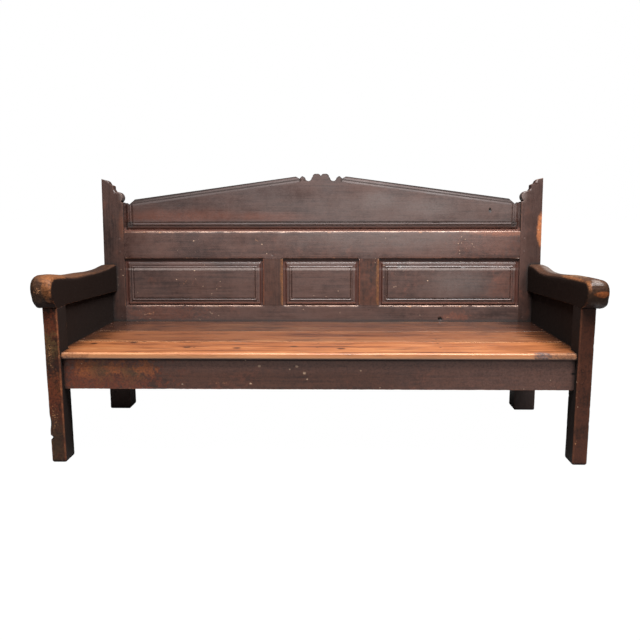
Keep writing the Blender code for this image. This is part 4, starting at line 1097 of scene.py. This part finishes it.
def make_nail(name, place, seed):
    """A whittled peg: an uneven head, rubbed round, and a shank that goes into the plank."""
    rng = random.Random(seed)
    uneven = [rng.uniform(0.82, 1.1) for _ in range(NAIL_SIDES)]
    bm = bmesh.new()
    rings = []
    for share, down in ((0.55, -NAIL_PROUD), (0.92, -NAIL_PROUD * 0.4), (1.0, NAIL_PROUD), (0.8, NAIL_LENGTH)):
        ring = []
        for k, reach in enumerate(uneven):
            turn = 2 * math.pi * k / NAIL_SIDES
            radius = NAIL_RADIUS * share * reach
            ring.append(bm.verts.new(place + Vector((math.cos(turn) * radius, math.sin(turn) * radius, -down))))
        rings.append(ring)
    bm.faces.new(rings[0])
    bm.faces.new(reversed(rings[-1]))
    for upper, lower in zip(rings, rings[1:]):
        for k in range(NAIL_SIDES):
            after = (k + 1) % NAIL_SIDES
            bm.faces.new((upper[k], lower[k], lower[after], upper[after]))
    for face in bm.faces:
        face.smooth = True
    mesh = bpy.data.meshes.new(name)
    bm.to_mesh(mesh)
    bm.free()
    mesh.set_sharp_from_angle(angle=SMOOTH_ANGLE)
    mesh.materials.append(peg_finishes["seat"])
    nail = bpy.data.objects.new(name, mesh)
    bpy.context.scene.collection.objects.link(nail)
    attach(nail, "root")


def plank_top(which, x, y):
    """The worn top of a plank at one point, from above."""
    plank = bpy.data.objects[f"worn_seat_plank_{which}"]
    found, place, _, _ = plank.ray_cast(Vector((x, y, 1)), Vector((0, 0, -1)))
    if not found:
        raise ValueError(f"no {plank.name} at {x}, {y}")
    return place


spot_of_nails = random.Random(77)
for place, rows in NAIL_ROWS.items():
    for column, x in enumerate(NAIL_COLUMNS):
        for row, y in enumerate(rows):
            off_x, off_y = spot_of_nails.uniform(-3, 3) * MM, spot_of_nails.uniform(-10, 10) * MM
            top = plank_top(place, x + off_x, y + off_y)
            make_nail(f"nail_{place}_{column + 1}_{row + 1}", top, 100 + column * 7 + row)

# Stage
FLOOR_SIZE = 30.0
FLOOR_NEAR, FLOOR_FAR = 1.6, 4.5  # the floor turns from pale to white between these, from the bench


def make_floor():
    """A pale floor that is lost in the white background further off."""
    bm = bmesh.new()
    bmesh.ops.create_grid(bm, x_segments=1, y_segments=1, size=FLOOR_SIZE)
    mesh = bpy.data.meshes.new("floor")
    bm.to_mesh(mesh)
    bm.free()
    floor = bpy.data.objects.new("floor", mesh)
    bpy.context.scene.collection.objects.link(floor)
    g = Graph("floor_white")
    g.feed(g.shader.inputs["Base Color"], (0.40, 0.40, 0.40))
    g.shader.inputs["Roughness"].default_value = 0.9
    glow = g.add("ShaderNodeEmission")
    glow.inputs["Strength"].default_value = 1.03
    away = g.vector("LENGTH", g.place, (0, 0, 0), output=1)
    white = g.math("ADD", 0.97, g.math("MULTIPLY", g.between(away, FLOOR_NEAR, FLOOR_FAR), 0.03))
    seen = g.math("MULTIPLY", g.add("ShaderNodeLightPath").outputs["Is Camera Ray"], white)
    lift = g.add("ShaderNodeMixShader")
    g.feed(lift.inputs[0], seen)
    g.feed(lift.inputs[1], g.shader.outputs[0])
    g.feed(lift.inputs[2], glow.outputs[0])
    g.feed(g.output.inputs["Surface"], lift.outputs[0])
    mesh.materials.append(g.material)


def make_world():
    """White behind the bench, and a soft grey light all round it."""
    world = bpy.data.worlds.new("studio")
    bpy.context.scene.world = world
    world.use_nodes = True
    tree = world.node_tree
    tree.nodes.clear()
    dim = tree.nodes.new("ShaderNodeBackground")
    dim.inputs["Color"].default_value = (1, 1, 1, 1)
    dim.inputs["Strength"].default_value = 0.10
    white = tree.nodes.new("ShaderNodeBackground")
    white.inputs["Color"].default_value = (1, 1, 1, 1)
    white.inputs["Strength"].default_value = 1.0
    path = tree.nodes.new("ShaderNodeLightPath")
    choose = tree.nodes.new("ShaderNodeMixShader")
    tree.links.new(path.outputs["Is Camera Ray"], choose.inputs[0])
    tree.links.new(dim.outputs[0], choose.inputs[1])
    tree.links.new(white.outputs[0], choose.inputs[2])
    output = tree.nodes.new("ShaderNodeOutputWorld")
    tree.links.new(choose.outputs[0], output.inputs["Surface"])


def softbox(name, place, target, size, power):
    """A large soft light that looks at a point."""
    data = bpy.data.lights.new(name, "AREA")
    data.shape = "RECTANGLE"
    data.size, data.size_y = size
    data.energy = power
    light = bpy.data.objects.new(name, data)
    light.location = place
    light.rotation_mode = "QUATERNION"
    light.rotation_quaternion = (Vector(target) - Vector(place)).to_track_quat("-Z", "Y")
    bpy.context.scene.collection.objects.link(light)


make_floor()
make_world()
softbox("key", (0.6, -1.05, 3.0), (0.1, 0.15, 0.5), (3.0, 0.5), 330)
softbox("card", (0.5, -4.6, 1.6), (0.3, 0.3, 0.8), (3.5, 1.3), 8)

# Camera, at the photograph's place and angle on a square frame
CAMERA = Vector((0.0641, -2.7540, 0.9254))
YAW, PITCH, ROLL = -0.0222, 0.1657, -0.0023
LENS = 39.51


def make_camera():
    ahead = Vector((math.sin(YAW) * math.cos(PITCH), math.cos(YAW) * math.cos(PITCH), -math.sin(PITCH)))
    right = Vector((math.cos(YAW), -math.sin(YAW), 0))
    up = right.cross(ahead)
    tilted_right = math.cos(ROLL) * right + math.sin(ROLL) * up
    tilted_up = math.cos(ROLL) * up - math.sin(ROLL) * right
    pose = Matrix((tilted_right, tilted_up, -ahead)).transposed().to_4x4()
    pose.translation = CAMERA
    data = bpy.data.cameras.new("camera")
    data.sensor_width = 36
    data.lens = LENS
    camera = bpy.data.objects.new("camera", data)
    camera.matrix_world = pose
    bpy.context.scene.collection.objects.link(camera)
    bpy.context.scene.camera = camera


make_camera()
bpy.context.scene.view_settings.view_transform = "Standard"
